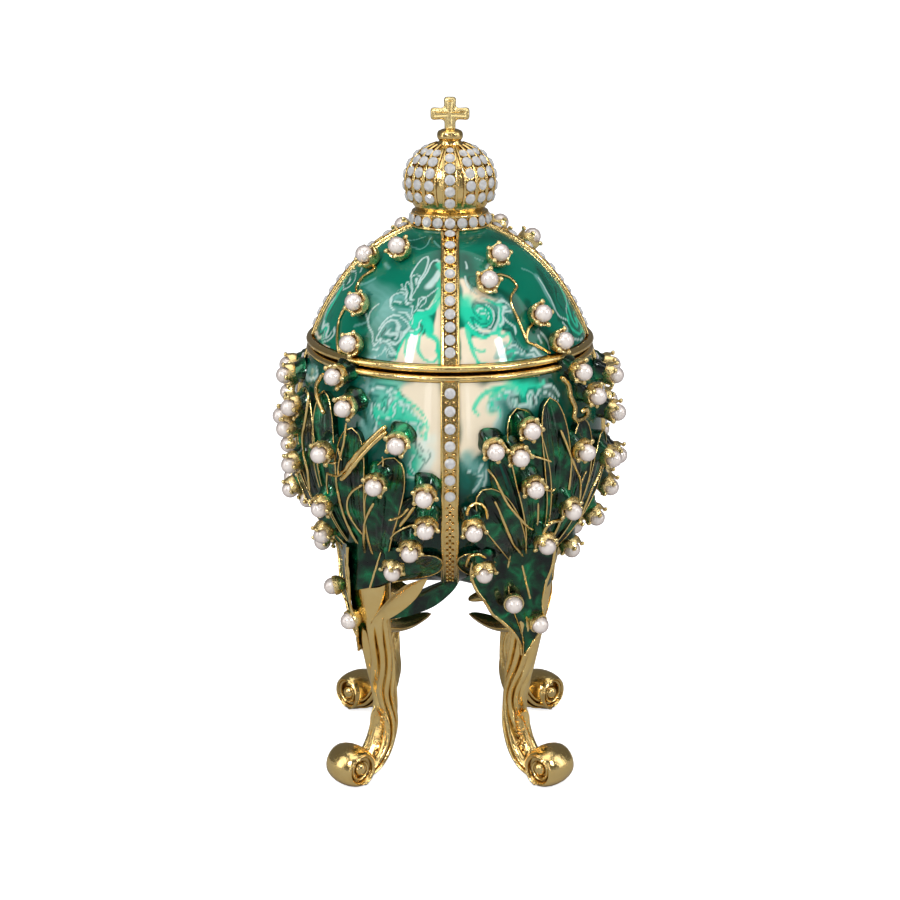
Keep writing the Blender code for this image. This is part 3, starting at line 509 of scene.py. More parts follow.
LID_LEFT_GLAZE = (
    (DEEP, 2.76, 1.38, 0.9, ((43.1, 101.9), (28.9, 100.9), (13.1, 100.3), (-7.6, 100.1))),
    (DEEP, 1.15, 1.38, 0.9, ((38.9, 100.1), (39, 98.7), (36.7, 97.8))),
    (SMOKE, 1.38, 2.07, 0.9, ((-3.7, 92.7), (7.8, 91.8), (13.4, 91.2))),
    (SMOKE, 2.53, 2.07, 0.8, ((11.5, 89.1), (17.6, 88.5), (23.2, 87.8), (22.9, 86.2))),
    (SMOKE, 1.61, 1.84, 0.5, ((12, 83.9), (16.2, 83), (15.2, 81.5))),
    (SMOKE, 1.38, 1.38, 0.5, ((11.8, 82.2), (16.7, 82), (21.4, 82))),
    (DEEP, 0.92, 0.92, 0.7, ((-2.2, 91.3), (-1.1, 88.9), (3.6, 87.4))),
    (DEEP, 0.92, 0.69, 0.7, ((5.7, 84.8), (8, 83), (6.9, 81.7))),
    (CREAM, 1.01, 0.51, 0.15, ((22.2, 81.2), (29.1, 81.6), (42.5, 81.4))),
    (CREAM, 2.07, 1.38, 0.15, ((27.3, 82.4), (32.5, 83.1), (39.9, 82.8))),
    (CREAM, 1.38, 0.78, 0.15, ((39.9, 82.6), (41.2, 85.7), (40.7, 87.7), (40.8, 89.7),
     (41.1, 91.7))),
    (CREAM, 1.38, 1.38, 0.15, ((35.2, 85.7), (37.6, 84.5), (39.3, 83.6))),
    (CREAM, 0.69, 1.26, 0.15, ((30.9, 86), (31, 84.6), (30.4, 82.9))),
    (CREAM, 0.92, 0.69, 0.2, ((27, 84.9), (25.3, 83.6), (24.1, 82.1))),
    (CREAM, 0.28, 0.6, 0.2, ((35, 90.7), (36.9, 91.7), (38.9, 92.9), (40.5, 93.7))),
    (MINT, 0.72, 0.83, 0.3, ((27.9, 88.4), (30.4, 89.6), (35.2, 90.1), (38.5, 91.7), (40.1, 93.7),
     (40.1, 95.2))),
    (MINT, 0.94, 0.55, 0.3, ((28.4, 88.6), (33.2, 88.9), (35.8, 87.9), (36.8, 87.1))),
    (MINT, 0.66, 0.28, 0.3, ((34.7, 87.7), (36.1, 86.5), (39.3, 85.5), (40.8, 84.1), (41, 81.8))),
    (MINT, 0.44, 0.22, 0.3, ((29.2, 87.6), (29.3, 85.7), (29.3, 83.9))),
    (MINT, 0.34, 0.22, 0.3, ((27.8, 87.3), (24.9, 85.8), (22.9, 83.7), (22.7, 82.2))),
    (MINT, 0.25, 0.19, 0.3, ((30, 87.6), (26.6, 85.9), (25.7, 84), (27.7, 82.7), (29.2, 83.3),
     (29.5, 85.1), (29.2, 87.4))),
    (MINT, 0.25, 0.25, 0.3, ((33.1, 88.3), (31.5, 86), (31.7, 83.9), (35.2, 82.5), (39.1, 82.4),
     (40.6, 83.7), (38.5, 85.5), (33.6, 87.5))),
    (SMOKE, 0.46, 0.23, 0.5, ((25.9, 89.7), (22.8, 90.4), (17.4, 90.3), (13.9, 91.4), (16.6, 92.3),
     (21.2, 92.2))),
    (MILK, 0.13, 0.18, 0.4, ((7.5, 90.6), (4.2, 89.3), (4.2, 87.9), (6.9, 86.6), (13, 85.2),
     (18.2, 83.8))),
    (MILK, 0.18, 0.13, 0.4, ((18.2, 83.8), (22.7, 85.6), (27.8, 87.3), (33.3, 88.6))),
    (MILK, 0.18, 0.15, 0.4, ((12.3, 86.8), (14.7, 88.7), (19.8, 89.2), (24.7, 88.5), (27, 87.7))),
    (MILK, 0.22, 0.18, 0.4, ((26.4, 87.7), (24.3, 85.8), (20.2, 84.5), (16.3, 84.9), (13.6, 86.5),
     (15.3, 88.1), (19.7, 88.3), (23.3, 87.2), (22.5, 85.9), (19.2, 85.3))),
    (MILK, 0.47, 0.3, 0.5, ((20.1, 86.9), (20.1, 85.9), (17.9, 85.4))),
    (NIGHT, 0.21, 0.14, 0.5, ((16.7, 87.2), (16.8, 86.2), (18.3, 85.8))),
    (MILK, 0.13, 0.13, 0.4, ((1.7, 88.8), (5.1, 87.5))),
    (MILK, 0.18, 0.13, 0.4, ((26.4, 88.9), (23.2, 89.9), (18.3, 90), (13.9, 90.8), (12.9, 91.9),
     (16.1, 92.7), (21.6, 92.5), (24.7, 91.5))),
    (MILK, 0.13, 0.11, 0.4, ((18.1, 90.3), (16.3, 91.3), (18.5, 91.9), (21.8, 91.6))),
    (EMERALD, 0.28, 0.18, 0.3, ((18, 90.7), (18.2, 91.5), (20.9, 91.8))),
    (MILK, 0.11, 0.11, 0.4, ((27.9, 88.4), (25.8, 90.3), (20.3, 93), (18.9, 94.1), (19.9, 94.5),
     (22.7, 93.6), (26.2, 91.7))),
    (MILK, 0.13, 0.11, 0.4, ((26.4, 91.5), (23.2, 93.8), (21.5, 95.2), (23.8, 95.6), (27, 95.3),
     (26.9, 94.3), (25.8, 93.1), (26.2, 91.7))),
    (MILK, 0.25, 0.11, 0.5, ((24.9, 95), (25.6, 94.1))),
    (MILK, 0.13, 0.18, 0.4, ((20.8, 95.3), (21.2, 96.9), (25.6, 98.2), (29.3, 98), (28.5, 96.2),
     (26.6, 94.3))),
    (MILK, 0.13, 0.22, 0.4, ((26.7, 93.7), (29.7, 95.9), (32.3, 97.6), (35.6, 98), (38.3, 97.4),
     (38.2, 95.9), (37.2, 94.8))),
    (MILK, 0.73, 0.43, 0.5, ((33.8, 94.2), (35.9, 95.2), (37.6, 96.3))),
    (MINT, 0.44, 0.17, 0.6, ((37, 97.4), (40.3, 95.6))),
    (MILK, 0.13, 0.09, 0.4, ((27.7, 90), (30, 91.6), (34.1, 92.8), (38.3, 93.8))),
    (MILK, 0.13, 0.09, 0.4, ((27.7, 90.6), (28.9, 91.8), (31.7, 92.2), (32.7, 91.6),
     (29.9, 90.6))),
    (MILK, 0.11, 0.09, 0.4, ((15.3, 93.2), (20.1, 93.2), (24.7, 91.5))),
    (MILK, 0.11, 0.09, 0.4, ((16.5, 94.1), (18.4, 93.3))),
    (MILK, 0.15, 0.09, 0.4, ((29.5, 90.2), (34.4, 90.7), (37.8, 91.9))),
    (SMOKE, 0.14, 0.11, 0.5, ((2.4, 99.8), (16.6, 99.3), (22.7, 100), (22.5, 101))),
    (SMOKE, 0.11, 0.11, 0.5, ((-2.8, 100.2), (6.3, 100.5), (14.2, 101))),
    (SMOKE, 0.11, 0.11, 0.5, ((28.7, 100.6), (34.5, 99.8), (39.5, 99.4))),
    (SMOKE, 0.69, 0.46, 0.8, ((13, 101.8), (31.9, 101.8))),
    (SMOKE, 0.41, 0.32, 0.8, ((-3.9, 96.6), (1.6, 96.2))),
    (MILK, 0.14, 0.18, 0.6, ((11.4, 84.7), (16.7, 83.2), (21, 82.9))),
    (MILK, 0.18, 0.14, 0.6, ((10.4, 82.3), (15.2, 82.8), (19.5, 82.3))),
    (MILK, 0.23, 0.18, 0.6, ((15.8, 83.8), (20.1, 83.6), (22.1, 83))),
    (TEAL, 0.18, 0.14, 0.5, ((13.8, 84), (18.9, 82.5), (22.3, 82.4))),
    (SMOKE, 0.32, 0.23, 0.6, ((-15.2, 92.8), (-9.1, 93.3), (-3.8, 94.2))),
    (TEAL, 0.23, 0.18, 0.5, ((-14.2, 92.2), (-5.6, 92.2), (0.4, 91.9))),
    (SMOKE, 0.23, 0.18, 0.6, ((-2.5, 86.4), (1.6, 87.1), (4.1, 87.7))),
    (CREAM, 0.37, 0.32, 0.3, ((-36.5, 90.7), (-41.2, 87.8), (-45.4, 84.3), (-46.2, 82.3))),
    (CREAM, 0.41, 0.28, 0.3, ((-46.2, 82.3), (-25.1, 82.5), (-14.8, 81.6))),
    (MINT, 0.72, 1.1, 0.3, ((-31.8, 91.1), (-31.8, 89.2), (-32, 86.2), (-28.4, 84), (-21.5, 83))),
    (MINT, 0.28, 0.28, 0.4, ((-34.5, 91.8), (-39.6, 93.1))),
    (MILK, 0.15, 0.15, 0.3, ((-28.8, 91.3), (-39.3, 92.2), (-41.9, 93.4), (-29.9, 94.1),
     (-22.5, 93.4), (-22.2, 92.1), (-27.7, 91.1))),
    (MILK, 0.34, 0.22, 0.5, ((-28.7, 92.4), (-30.1, 93.4))),
    (NIGHT, 0.14, 0.11, 0.4, ((-29.3, 92.1), (-32.8, 93.5))),
    (MILK, 0.25, 0.18, 0.4, ((-22.2, 94.6), (-25.8, 95.5))),
    (MILK, 0.34, 0.47, 0.5, ((-33.1, 89.4), (-35.5, 87.1), (-31.3, 85.1), (-27.7, 83.9))),
    (MILK, 0.52, 0.34, 0.4, ((-30.4, 85), (-29.1, 84.2), (-20.1, 84.3), (-19.2, 85))),
    (TEAL, 0.28, 0.18, 0.4, ((-23.6, 86.9), (-23.9, 85.5), (-15.8, 85.3), (-16.6, 83.9))),
    (MILK, 0.3, 0.22, 0.4, ((-16.9, 85.2), (-14.8, 84.3), (-18.7, 83.1), (-22.8, 82.9))),
    (DEEP, 0.28, 0.18, 0.4, ((-29.1, 83), (-19, 82.6), (-12.8, 82.4))),
    (EMERALD, 0.46, 0.37, 0.5, ((-13.5, 84.2), (-13.1, 82.6), (-10.7, 81.7))),
)
LID_RIGHT_GLAZE = (
    (DEEP, 1.84, 1.15, 0.9, ((-27.1, 100.9), (-4.4, 100.7), (17.7, 100.2), (34.4, 99.1))),
    (DEEP, 1.61, 1.38, 0.9, ((34.2, 101), (40.4, 98.8), (43.2, 96.1), (39, 93.6))),
    (DEEP, 1.15, 1.38, 0.8, ((-33.1, 98.3), (-33.9, 96.7))),
    (DEEP, 0.69, 0.69, 0.7, ((-2.6, 90.7), (-5.2, 89.6))),
    (DEEP, 1.15, 0.92, 0.7, ((22.5, 94.5), (20.1, 92.7), (17.8, 90.4), (14.6, 88.7))),
    (DEEP, 1.38, 1.38, 0.6, ((-4.6, 86.4), (0.8, 85.7), (0.9, 83.8))),
    (DEEP, 1.15, 1.15, 0.6, ((-18.4, 92.5), (-12.3, 91.3), (-12.1, 89.1))),
    (SMOKE, 1.38, 1.61, 0.7, ((-35, 93.6), (-27.9, 92.5), (-22.1, 91), (-18.5, 89.7))),
    (SMOKE, 1.38, 1.38, 0.6, ((-19.8, 86.1), (-18.5, 84.2), (-14.8, 82.1), (-7.8, 81.1))),
    (SMOKE, 1.38, 0.69, 0.6, ((-14.9, 84), (-9.7, 82.3), (-1.6, 81.1))),
    (CREAM, 0.92, 0.83, 0.2, ((-38.5, 86.9), (-38.5, 84.7), (-38.1, 81.6))),
    (CREAM, 1.15, 0.92, 0.15, ((-38.3, 81.8), (-32.1, 81.7), (-23.1, 81.4))),
    (CREAM, 0.6, 0.28, 0.2, ((-23.1, 81.4), (-15.1, 81.4), (-5, 81.3))),
    (CREAM, 1.61, 1.38, 0.15, ((-33.1, 84.6), (-27.5, 84.9), (-21.3, 85.7))),
    (CREAM, 1.38, 1.15, 0.15, ((-35.5, 83.2), (-29.1, 83.3), (-23.7, 84.4))),
    (CREAM, 0.69, 0.46, 0.4, ((-36.7, 94.8), (-36.1, 93.6), (-37.2, 92.5))),
    (CREAM, 0.92, 1.15, 0.6, ((-33.5, 92.4), (-29.1, 92.8), (-26.1, 92.1))),
    (MINT, 1.66, 1.38, 0.5, ((-35.6, 91.5), (-35.8, 89.7), (-33.9, 87.9))),
    (MINT, 1.24, 0.55, 0.4, ((-30.6, 90.2), (-29, 89.6), (-29.9, 89))),
    (MILK, 0.25, 0.3, 0.4, ((-26.8, 92.1), (-21.8, 91.4), (-20.5, 89.8), (-22.3, 88.2),
     (-26.1, 86.9), (-30.9, 86.6))),
    (MINT, 0.34, 0.44, 0.4, ((-24.9, 91.9), (-21, 90.8), (-19.5, 89.3), (-21.3, 87.8),
     (-25.1, 86.5), (-30.5, 86.1), (-34.3, 86.7), (-37.1, 87.9))),
    (MILK, 0.18, 0.18, 0.4, ((-24.7, 90.3), (-24.3, 89.1), (-26.9, 87.7), (-30.6, 87.4),
     (-33.9, 88.1))),
    (MINT, 0.22, 0.28, 0.4, ((-27.2, 90.6), (-25.3, 89.5), (-27.8, 88.4), (-31.6, 87.9))),
    (TEAL, 0.16, 0.16, 0.35, ((-33.8, 90.1), (-32.5, 91), (-29.3, 91.4), (-26.6, 91), (-26, 89.9),
     (-27.9, 88.8), (-31.1, 88.3), (-33.9, 88.9), (-35.4, 90.1))),
    (TEAL, 0.14, 0.11, 0.35, ((-35.8, 89.7), (-34.5, 88.1), (-31.4, 86.8), (-27.5, 86.3))),
    (MILK, 0.13, 0.11, 0.4, ((-31.4, 89.8), (-29.1, 90.6), (-28.3, 89.8), (-29.9, 89),
     (-31.7, 89.2))),
    (MILK, 0.13, 0.2, 0.4, ((-37, 88.5), (-34.6, 87.5), (-30.7, 87), (-27.7, 87.1))),
    (CREAM, 0.21, 0.09, 0.4, ((-32.3, 87.4), (-30.1, 87.1), (-27.5, 87))),
    (MINT, 0.55, 0.22, 0.3, ((-37.2, 87.7), (-36.4, 85.7), (-35.9, 84), (-34.1, 82.5),
     (-32.7, 81.7))),
    (MINT, 0.28, 0.25, 0.4, ((-33.7, 81.9), (-28.5, 81.6), (-23, 81.7), (-18.8, 82.3),
     (-17.2, 83.2), (-18.8, 83.6), (-20.7, 83.3))),
    (MINT, 0.25, 0.19, 0.4, ((-36.8, 85.1), (-33.8, 83.9), (-30.5, 84))),
    (MINT, 0.28, 0.19, 0.4, ((-29.9, 86), (-24.6, 86.2), (-18.3, 86.5))),
    (MINT, 0.25, 0.19, 0.4, ((-18.3, 86.5), (-18.1, 85.4), (-22, 84.3), (-23.6, 83.1),
     (-22.3, 82.2))),
    (SMOKE, 0.55, 0.37, 0.5, ((-21.6, 85.1), (-24, 83.5), (-26, 82.6))),
    (DEEP, 0.18, 0.14, 0.3, ((-29.1, 95.5), (-32.3, 95.5), (-34, 94.8), (-31.9, 94),
     (-29.9, 93.8))),
    (MILK, 0.15, 0.11, 0.4, ((-35.5, 95.5), (-35.1, 94.2), (-33, 93.4), (-30.5, 92.8))),
    (MILK, 0.15, 0.11, 0.5, ((-34.3, 96.7), (-33.7, 97.8))),
    (MILK, 0.28, 0.18, 0.6, ((-20, 96.5), (-16, 97.3), (-12.6, 97.1))),
    (MILK, 0.3, 0.25, 0.5, ((-21.6, 91.6), (-17.5, 90.7), (-16, 89.4), (-18.5, 88.1))),
    (TEAL, 0.32, 0.21, 0.4, ((-18.2, 92.1), (-15.7, 91), (-14.4, 89.6), (-12.6, 87.9))),
    (TEAL, 0.21, 0.16, 0.4, ((-18.9, 90.7), (-16.1, 90), (-15.4, 88.6), (-20.3, 87.3), (-17.9, 87),
     (-14, 87.1))),
    (MILK, 0.3, 0.2, 0.5, ((-19, 89.9), (-18.2, 88.5), (-22, 87.6))),
    (MILK, 0.25, 0.22, 0.5, ((-17, 88.2), (-14.4, 87.3), (-14.6, 86.3))),
    (DEEP, 0.28, 0.23, 0.4, ((-20.4, 87.1), (-16.8, 86.8), (-15.8, 85.5))),
    (MILK, 0.22, 0.18, 0.5, ((-19.7, 84.2), (-15.9, 84.5), (-11.5, 83.4), (-7.1, 82.1),
     (-1.6, 81.1))),
    (MILK, 0.18, 0.18, 0.5, ((-17.3, 83.1), (-13, 83.1), (-8.7, 81.8), (-3.8, 81))),
    (TEAL, 0.21, 0.16, 0.4, ((-16.8, 84.9), (-12.3, 84.1), (-8, 82.8), (-2.6, 81.6))),
    (DEEP, 0.21, 0.14, 0.4, ((-15.3, 85.3), (-13.4, 84.4), (-13.8, 83.7))),
    (TEAL, 0.28, 0.18, 0.4, ((-18.8, 82.3), (-14.7, 82.3), (-12, 81.5))),
    (MILK, 0.22, 0.13, 0.5, ((-1.7, 85.6), (0.1, 84.5), (0.8, 82.9))),
    (MILK, 0.2, 0.15, 0.5, ((-3.8, 85.1), (-2.9, 83.8))),
    (SMOKE, 0.16, 0.14, 0.7, ((6.5, 95.7), (13.3, 94.8), (15.5, 94))),
    (SMOKE, 0.14, 0.11, 0.6, ((-25.5, 98.1), (-20.2, 97.7))),
    (CREAM, 0.92, 1.15, 0.25, ((49.7, 91), (48, 87.5), (46.7, 84.9), (46.1, 82.3), (35.9, 81))),
    (CREAM, 0.51, 0.46, 0.3, ((50.8, 92.8), (49.7, 91))),
    (SMOKE, 0.69, 0.46, 0.5, ((15.5, 94), (14.3, 90.7), (14.6, 88.7))),
    (MINT, 0.66, 0.49, 0.4, ((40, 92.1), (34, 89.8), (29.4, 87.6), (28.8, 85.6), (38.2, 83.1))),
    (MILK, 0.2, 0.15, 0.4, ((15.9, 93.8), (15.8, 91.4), (14.6, 88.7), (16.5, 87), (21.4, 86.2))),
    (TEAL, 0.21, 0.16, 0.4, ((33.8, 91.8), (26, 89.9), (23.8, 87.8), (21.1, 87.6), (17.4, 88.7))),
    (NIGHT, 0.23, 0.16, 0.4, ((24, 91.4), (22, 89.5), (23.1, 87.9))),
    (MILK, 0.18, 0.13, 0.4, ((41.1, 91.8), (36.6, 89.6), (26.1, 87.9), (23.8, 86.9))),
    (MILK, 0.2, 0.13, 0.4, ((49.7, 91), (49.4, 89), (35.2, 88.3))),
    (MINT, 0.25, 0.19, 0.4, ((36, 86.1), (31.7, 85.1), (37.6, 83.6), (46.9, 83.5), (47.3, 84.9),
     (37.5, 86.2))),
    (MINT, 0.34, 0.25, 0.4, ((23.8, 86.9), (21.2, 85.1), (26.8, 83.5), (40.9, 82.6),
     (46.8, 83.2))),
    (TEAL, 0.21, 0.16, 0.4, ((18, 84.5), (22.3, 83.2), (30.7, 82.7), (46.4, 81.8))),
    (TEAL, 0.21, 0.16, 0.4, ((17.8, 83.1), (21.3, 82.2), (27.4, 81.8))),
    (MILK, 0.18, 0.13, 0.4, ((17.9, 83.8), (22.4, 82.6), (30.8, 82.1))),
    (DEEP, 0.46, 0.37, 0.5, ((13.9, 87), (19.9, 85.2), (19.3, 83.2), (18.5, 81.5))),
    (MILK, 0.18, 0.13, 0.5, ((15.7, 86.2), (17.8, 84.9), (15.8, 84.6))),
)
LID_STIRS = (
    ((19.7, 86.1, 1.3, 150), (16.8, 91.3, 1.1, -120), (36.6, 84.3, 1.2, -70),
     (25.5, 91.5, 1.2, 60), (31.5, 88.0, 1.2, 80), (-28.1, 93.1, 1.0, 90),
     (-22.0, 84.0, 1.5, -120), (14.0, 84.0, 1.6, 120)),
    ((-29.7, 90.1, 1.6, 140), (-24.0, 85.5, 1.2, -70), (-15.5, 89.5, 1.5, -110),
     (-10.0, 84.0, 1.6, 110), (25.0, 90.0, 1.8, -90), (31.0, 85.0, 1.6, 100),
     (-20.0, 92.5, 1.2, 90)),
)
lid = egg_skin(640, 120, SEAM + SEAM_GAP + LIP_HEIGHT, EGG_TOP)
marble(lid, EMERALD, SEAM, (LID_LEFT_GLAZE, LID_RIGHT_GLAZE), LID_STIRS)
lid = finished("lid_enamel", marbled)
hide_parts("lid")

# Lid lining and rim
# The inside of the lid with the recess over the bowl's collar, and its rounded rim, part of
# the lid's casting, gilt and polished.
rim_foot = SEAM + SEAM_GAP
lid_lining = []
for step in range(17):
    turn = math.radians(90.0 - 61.0 * step / 16)
    lid_lining.append((max(0.0, (EGG_RADIUS - WALL) * math.cos(turn)),
                       EGG_WIDEST + (egg_half(above=True) - WALL) * math.sin(turn)))
lid_lining += [(inner, rim_foot + COLLAR_HEIGHT), (inner, rim_foot), (rim_face, rim_foot)]
lid_lining += bead(seam_radius, rim_foot + RIM_EDGE + RIM_HALF, RIM_HALF, RIM_PROUD)
turned(lid_lining, 128)
lid_rim = finished("lid_rim_and_lining", bright_gold)

# Jewelled bands
# Four straight ribs up the egg, cast with the bowl and the lid: a channel between two raised
# edges, with round seats and pairs of small beads between the stones.
BAND_EDGE = ((1.02, 0.1), (1.1, 0.5), (1.3, 0.6), (1.5, 0.52), (1.65, 0.3), (1.65, -0.4))
BAND_SECTION = tuple((-across, lift) for across, lift in reversed(BAND_EDGE)) + BAND_EDGE
BANDS = {"front": 270.0, "right": 0.0, "back": 90.0, "left": 180.0}
BAND_FOOT, BAND_TOP = 37.2, 101.9
STONE_RADIUS, SEAT_RADIUS, GRAIN_RADIUS = 0.95, 1.06, 0.27
SEAT_RISE, STONE_RISE = 0.35, 0.62
# Below the last stones the channel is filled with rows of three beads
ROWS, ROWS_TOP, ROW_PITCH = 13, 57.0, 1.5


def across_egg(angle, height, across, lift):
    """A point beside a meridian, a distance across in millimetres."""
    radius = egg_slope(height)[0]
    return on_egg(angle + math.degrees(across / max(radius, 1.0)), height, lift)


def band_strip(angle, low, high):
    """The channel and its two raised edges, between two heights."""
    rows = 48
    count = len(BAND_SECTION) - 1

    def where(u, v):
        across, lift = BAND_SECTION[round(u * count)]
        return across_egg(angle, low + (high - low) * v, across, lift)

    return formed(count, rows, where)


def facing(point, normal, up=Vector((0.0, 0.0, 1.0))):
    """Place for a model whose own z looks along the normal."""
    across = up.cross(normal)
    if across.length < 1e-6:
        across = Vector((1.0, 0.0, 0.0))
    across.normalize()
    turn = Matrix((across, normal.cross(across), normal)).transposed().to_4x4()
    return Matrix.Translation(point) @ turn


def placed(model, place):
    """A copy of a model, with a mesh of its own, in its place."""
    copy = model.copy()
    copy.data = model.data.copy()
    copy.data.transform(place)
    bpy.context.collection.objects.link(copy)
    return copy


def joined(made):
    """Several parts of one casting as one mesh."""
    let_go()
    for part in made:
        part.select_set(True)
    bpy.context.view_layer.objects.active = made[0]
    bpy.ops.object.join()
    return bpy.context.active_object


def copies(name, model, places, finish, smooth=35.0):
    """Copies of one model, joined where they are cast together."""
    joined([placed(model, place) for place in places])
    return finished(name, finish, smooth)


def set_stones(name, places):
    """Clear stones; each is cut to a point below, and its back is silvered."""
    stones = copies(name, stone, places, crystal, None)
    stones.data.materials.append(foil)
    facets = len(stone.data.polygons)
    silvered = [face.normal.z < -0.3 for face in stone.data.polygons]
    for index, face in enumerate(stones.data.polygons):
        face.material_index = int(silvered[index % facets])
    return stones


def pick_faces(piece, wanted):
    """Only the faces that are wanted are selected, in edit mode."""
    bpy.ops.object.mode_set(mode="EDIT")
    bpy.ops.mesh.select_mode(type="FACE")
    bpy.ops.mesh.select_all(action="DESELECT")
    bpy.ops.object.mode_set(mode="OBJECT")
    for face in piece.data.polygons:
        face.select = wanted(face)
    bpy.ops.object.mode_set(mode="EDIT")


def grow(move, size=(1.0, 1.0, 1.0)):
    """Extrude what is selected by a move in millimetres, then resize its new end."""
    bpy.ops.mesh.extrude_region_move(TRANSFORM_OT_translate={"value": Vector(move) * MM})
    bpy.ops.transform.resize(value=size)


def flatten(share):
    """Squash the whole of the piece just made to a share of its height."""
    bpy.ops.object.mode_set(mode="EDIT")
    bpy.ops.mesh.select_all(action="SELECT")
    bpy.ops.transform.resize(value=(1.0, 1.0, share))
    bpy.ops.object.mode_set(mode="OBJECT")


let_go()
bpy.ops.mesh.primitive_cylinder_add(vertices=10, radius=STONE_RADIUS * MM, depth=0.16 * MM)
stone = bpy.context.active_object
pick_faces(stone, lambda face: face.normal.z > 0.9)
grow((0, 0, 0.3), (0.6, 0.6, 1))
pick_faces(stone, lambda face: face.normal.z < -0.9)
grow((0, 0, -0.5), (0.1, 0.1, 1))
bpy.ops.object.mode_set(mode="OBJECT")

let_go()
bpy.ops.mesh.primitive_cylinder_add(vertices=16, radius=SEAT_RADIUS * MM, depth=0.5 * MM)
seat = bpy.context.active_object
pick_faces(seat, lambda face: face.normal.z > 0.9)
bpy.ops.mesh.inset(thickness=0.1 * MM)
grow((0, 0, -0.35), (0.5, 0.5, 1))
bpy.ops.object.mode_set(mode="OBJECT")

let_go()
bpy.ops.mesh.primitive_ico_sphere_add(subdivisions=2, radius=GRAIN_RADIUS * MM)
grain = bpy.context.active_object
flatten(0.8)

foil, tree, shader = new_material("silver_foil", Metallic=0.6)
tone = with_hand_finish(tree, shader, 2500.0, 1.0, (0.04, 0.3), 0.5)
tree.links.new(two_tone(tree, tone, (0.55, 0.56, 0.6), (1.0, 1.0, 1.0)),
               shader.inputs["Base Color"])

crystal, tree, shader = new_material("clear_crystal", Transmission_Weight=0.45, IOR=1.8,
                                     Metallic=0.0)
tone = with_hand_finish(tree, shader, 1500.0, 1.0, (0.0, 0.04), 0.03)
tree.links.new(two_tone(tree, tone, (0.72, 0.73, 0.77), (1.0, 1.0, 1.0)),
               shader.inputs["Base Color"])

LID_STONES = [83.6 + 2.02 * index for index in range(9)] + [101.2]
BOWL_STONES = [77.0 - 3.0 * index for index in range(7)]


def band_place(angle, across, height, lift):
    """Place of a seat, stone or bead on a band, looking out of the egg."""
    return facing(across_egg(angle, height, across, lift), egg_normal(angle, height))


for name, angle in BANDS.items():
    band_strip(angle, SEAM + LIP_HEIGHT, BAND_TOP)
    lid_band = finished("lid_band_" + name, bright_gold)
    band_strip(angle, BAND_FOOT, SEAM - LIP_HEIGHT)
    bowl_band = finished("bowl_band_" + name, bright_gold)
    stones = LID_STONES + BOWL_STONES
    copies("band_seats_" + name, seat, [band_place(angle, 0.0, z, SEAT_RISE) for z in stones],
           bright_gold)
    set_stones("band_stones_" + name, [band_place(angle, 0.0, z, STONE_RISE) for z in stones])
    grains = []
    for low, high in zip(stones, stones[1:]):
        if abs(high - low) < 4.0:
            grains += [band_place(angle, side * 0.68, 0.5 * (low + high), 0.3)
                       for side in (-1.0, 1.0)]
    for row in range(ROWS):
        height = ROWS_TOP - ROW_PITCH * row
        grains.append(band_place(angle, 0.0, height, 0.35))
        grains += [band_place(angle, across, height - 0.6, 0.25) for across in (0.5, -0.5)]
    copies("band_beads_" + name, grain, grains, bright_gold)

# Leaves
# Long blades that fan up the bowl from each leg, cast with it. Each is dished and ribbed, its
# edge is left in gold, and clear green enamel lies so deep in it that it looks almost black.
LEAF_DISH, LEAF_WIRE, EDGED_FROM = 0.75, 0.13, 0.8
# Foot and tip angles, height of foot and tip, half width in millimetres, how far it stands proud;
# leaves that stand less proud than EDGED_FROM lie behind the others and have no gold edge
LEAF_SHAPES = (
    (-12.0, -40.0, 44.0, 56.0, 2.6, 0.75), (-9.0, -29.0, 45.0, 67.0, 2.9, 0.75),
    (-3.0, -14.0, 46.0, 68.0, 2.8, 0.7), (2.0, 1.0, 46.0, 66.0, 3.0, 0.7),
    (8.0, 17.0, 45.0, 62.0, 3.0, 0.75), (12.0, 36.0, 44.0, 59.0, 2.8, 0.75),
    (-13.0, -41.0, 40.5, 46.5, 2.4, 0.9), (13.0, 41.0, 40.5, 46.0, 2.4, 0.9),
    (-11.0, -34.0, 45.0, 60.4, 3.0, 1.35), (-5.5, -21.0, 46.0, 74.0, 3.4, 1.35),
    (0.0, -7.0, 46.0, 74.9, 3.0, 1.35), (5.5, 9.0, 46.0, 69.9, 3.1, 1.35),
    (11.0, 26.0, 45.0, 65.8, 3.2, 1.35),
)
deep_green, tree, shader = new_material("clear_green_enamel", Metallic=0.75, Coat_Weight=0.7,
                                        Coat_Roughness=0.02)
tone = with_hand_finish(tree, shader, 330.0, 1.0, (0.12, 0.3), 0.9)
thin = add(tree, "Math", {"operation": "POWER"}, Value=tone)
thin.inputs[1].default_value = 2.5
tree.links.new(two_tone(tree, thin.outputs[0], (0.0, 0.006, 0.004), (0.0, 0.24, 0.085)),
               shader.inputs["Base Color"])


def leaf_point(middle, leaf, v, across, lift):
    """A point on a leaf: v from foot to tip, and across from -1 to 1 of its half width."""
    foot, tip, low, high, half = leaf[:5]
    height = low + (high - low) * v
    angle = foot + (tip - foot) * v ** 0.8
    radius = egg_slope(height)[0]
    lean = math.radians(tip - foot) * radius * 0.8 * max(v, 0.05) ** -0.2
    way = Vector((lean, high - low)).normalized()
    half *= 0.4 + 0.6 * min(1.0, v / 0.55) ** 0.8
    if v > 0.7:
        half *= math.sqrt(max(0.0, 1.0 - ((v - 0.7) / 0.3) ** 2))
    aside = math.degrees(across * half * way.y / radius)
    return on_egg(middle + angle + aside, height - across * half * way.x, lift)


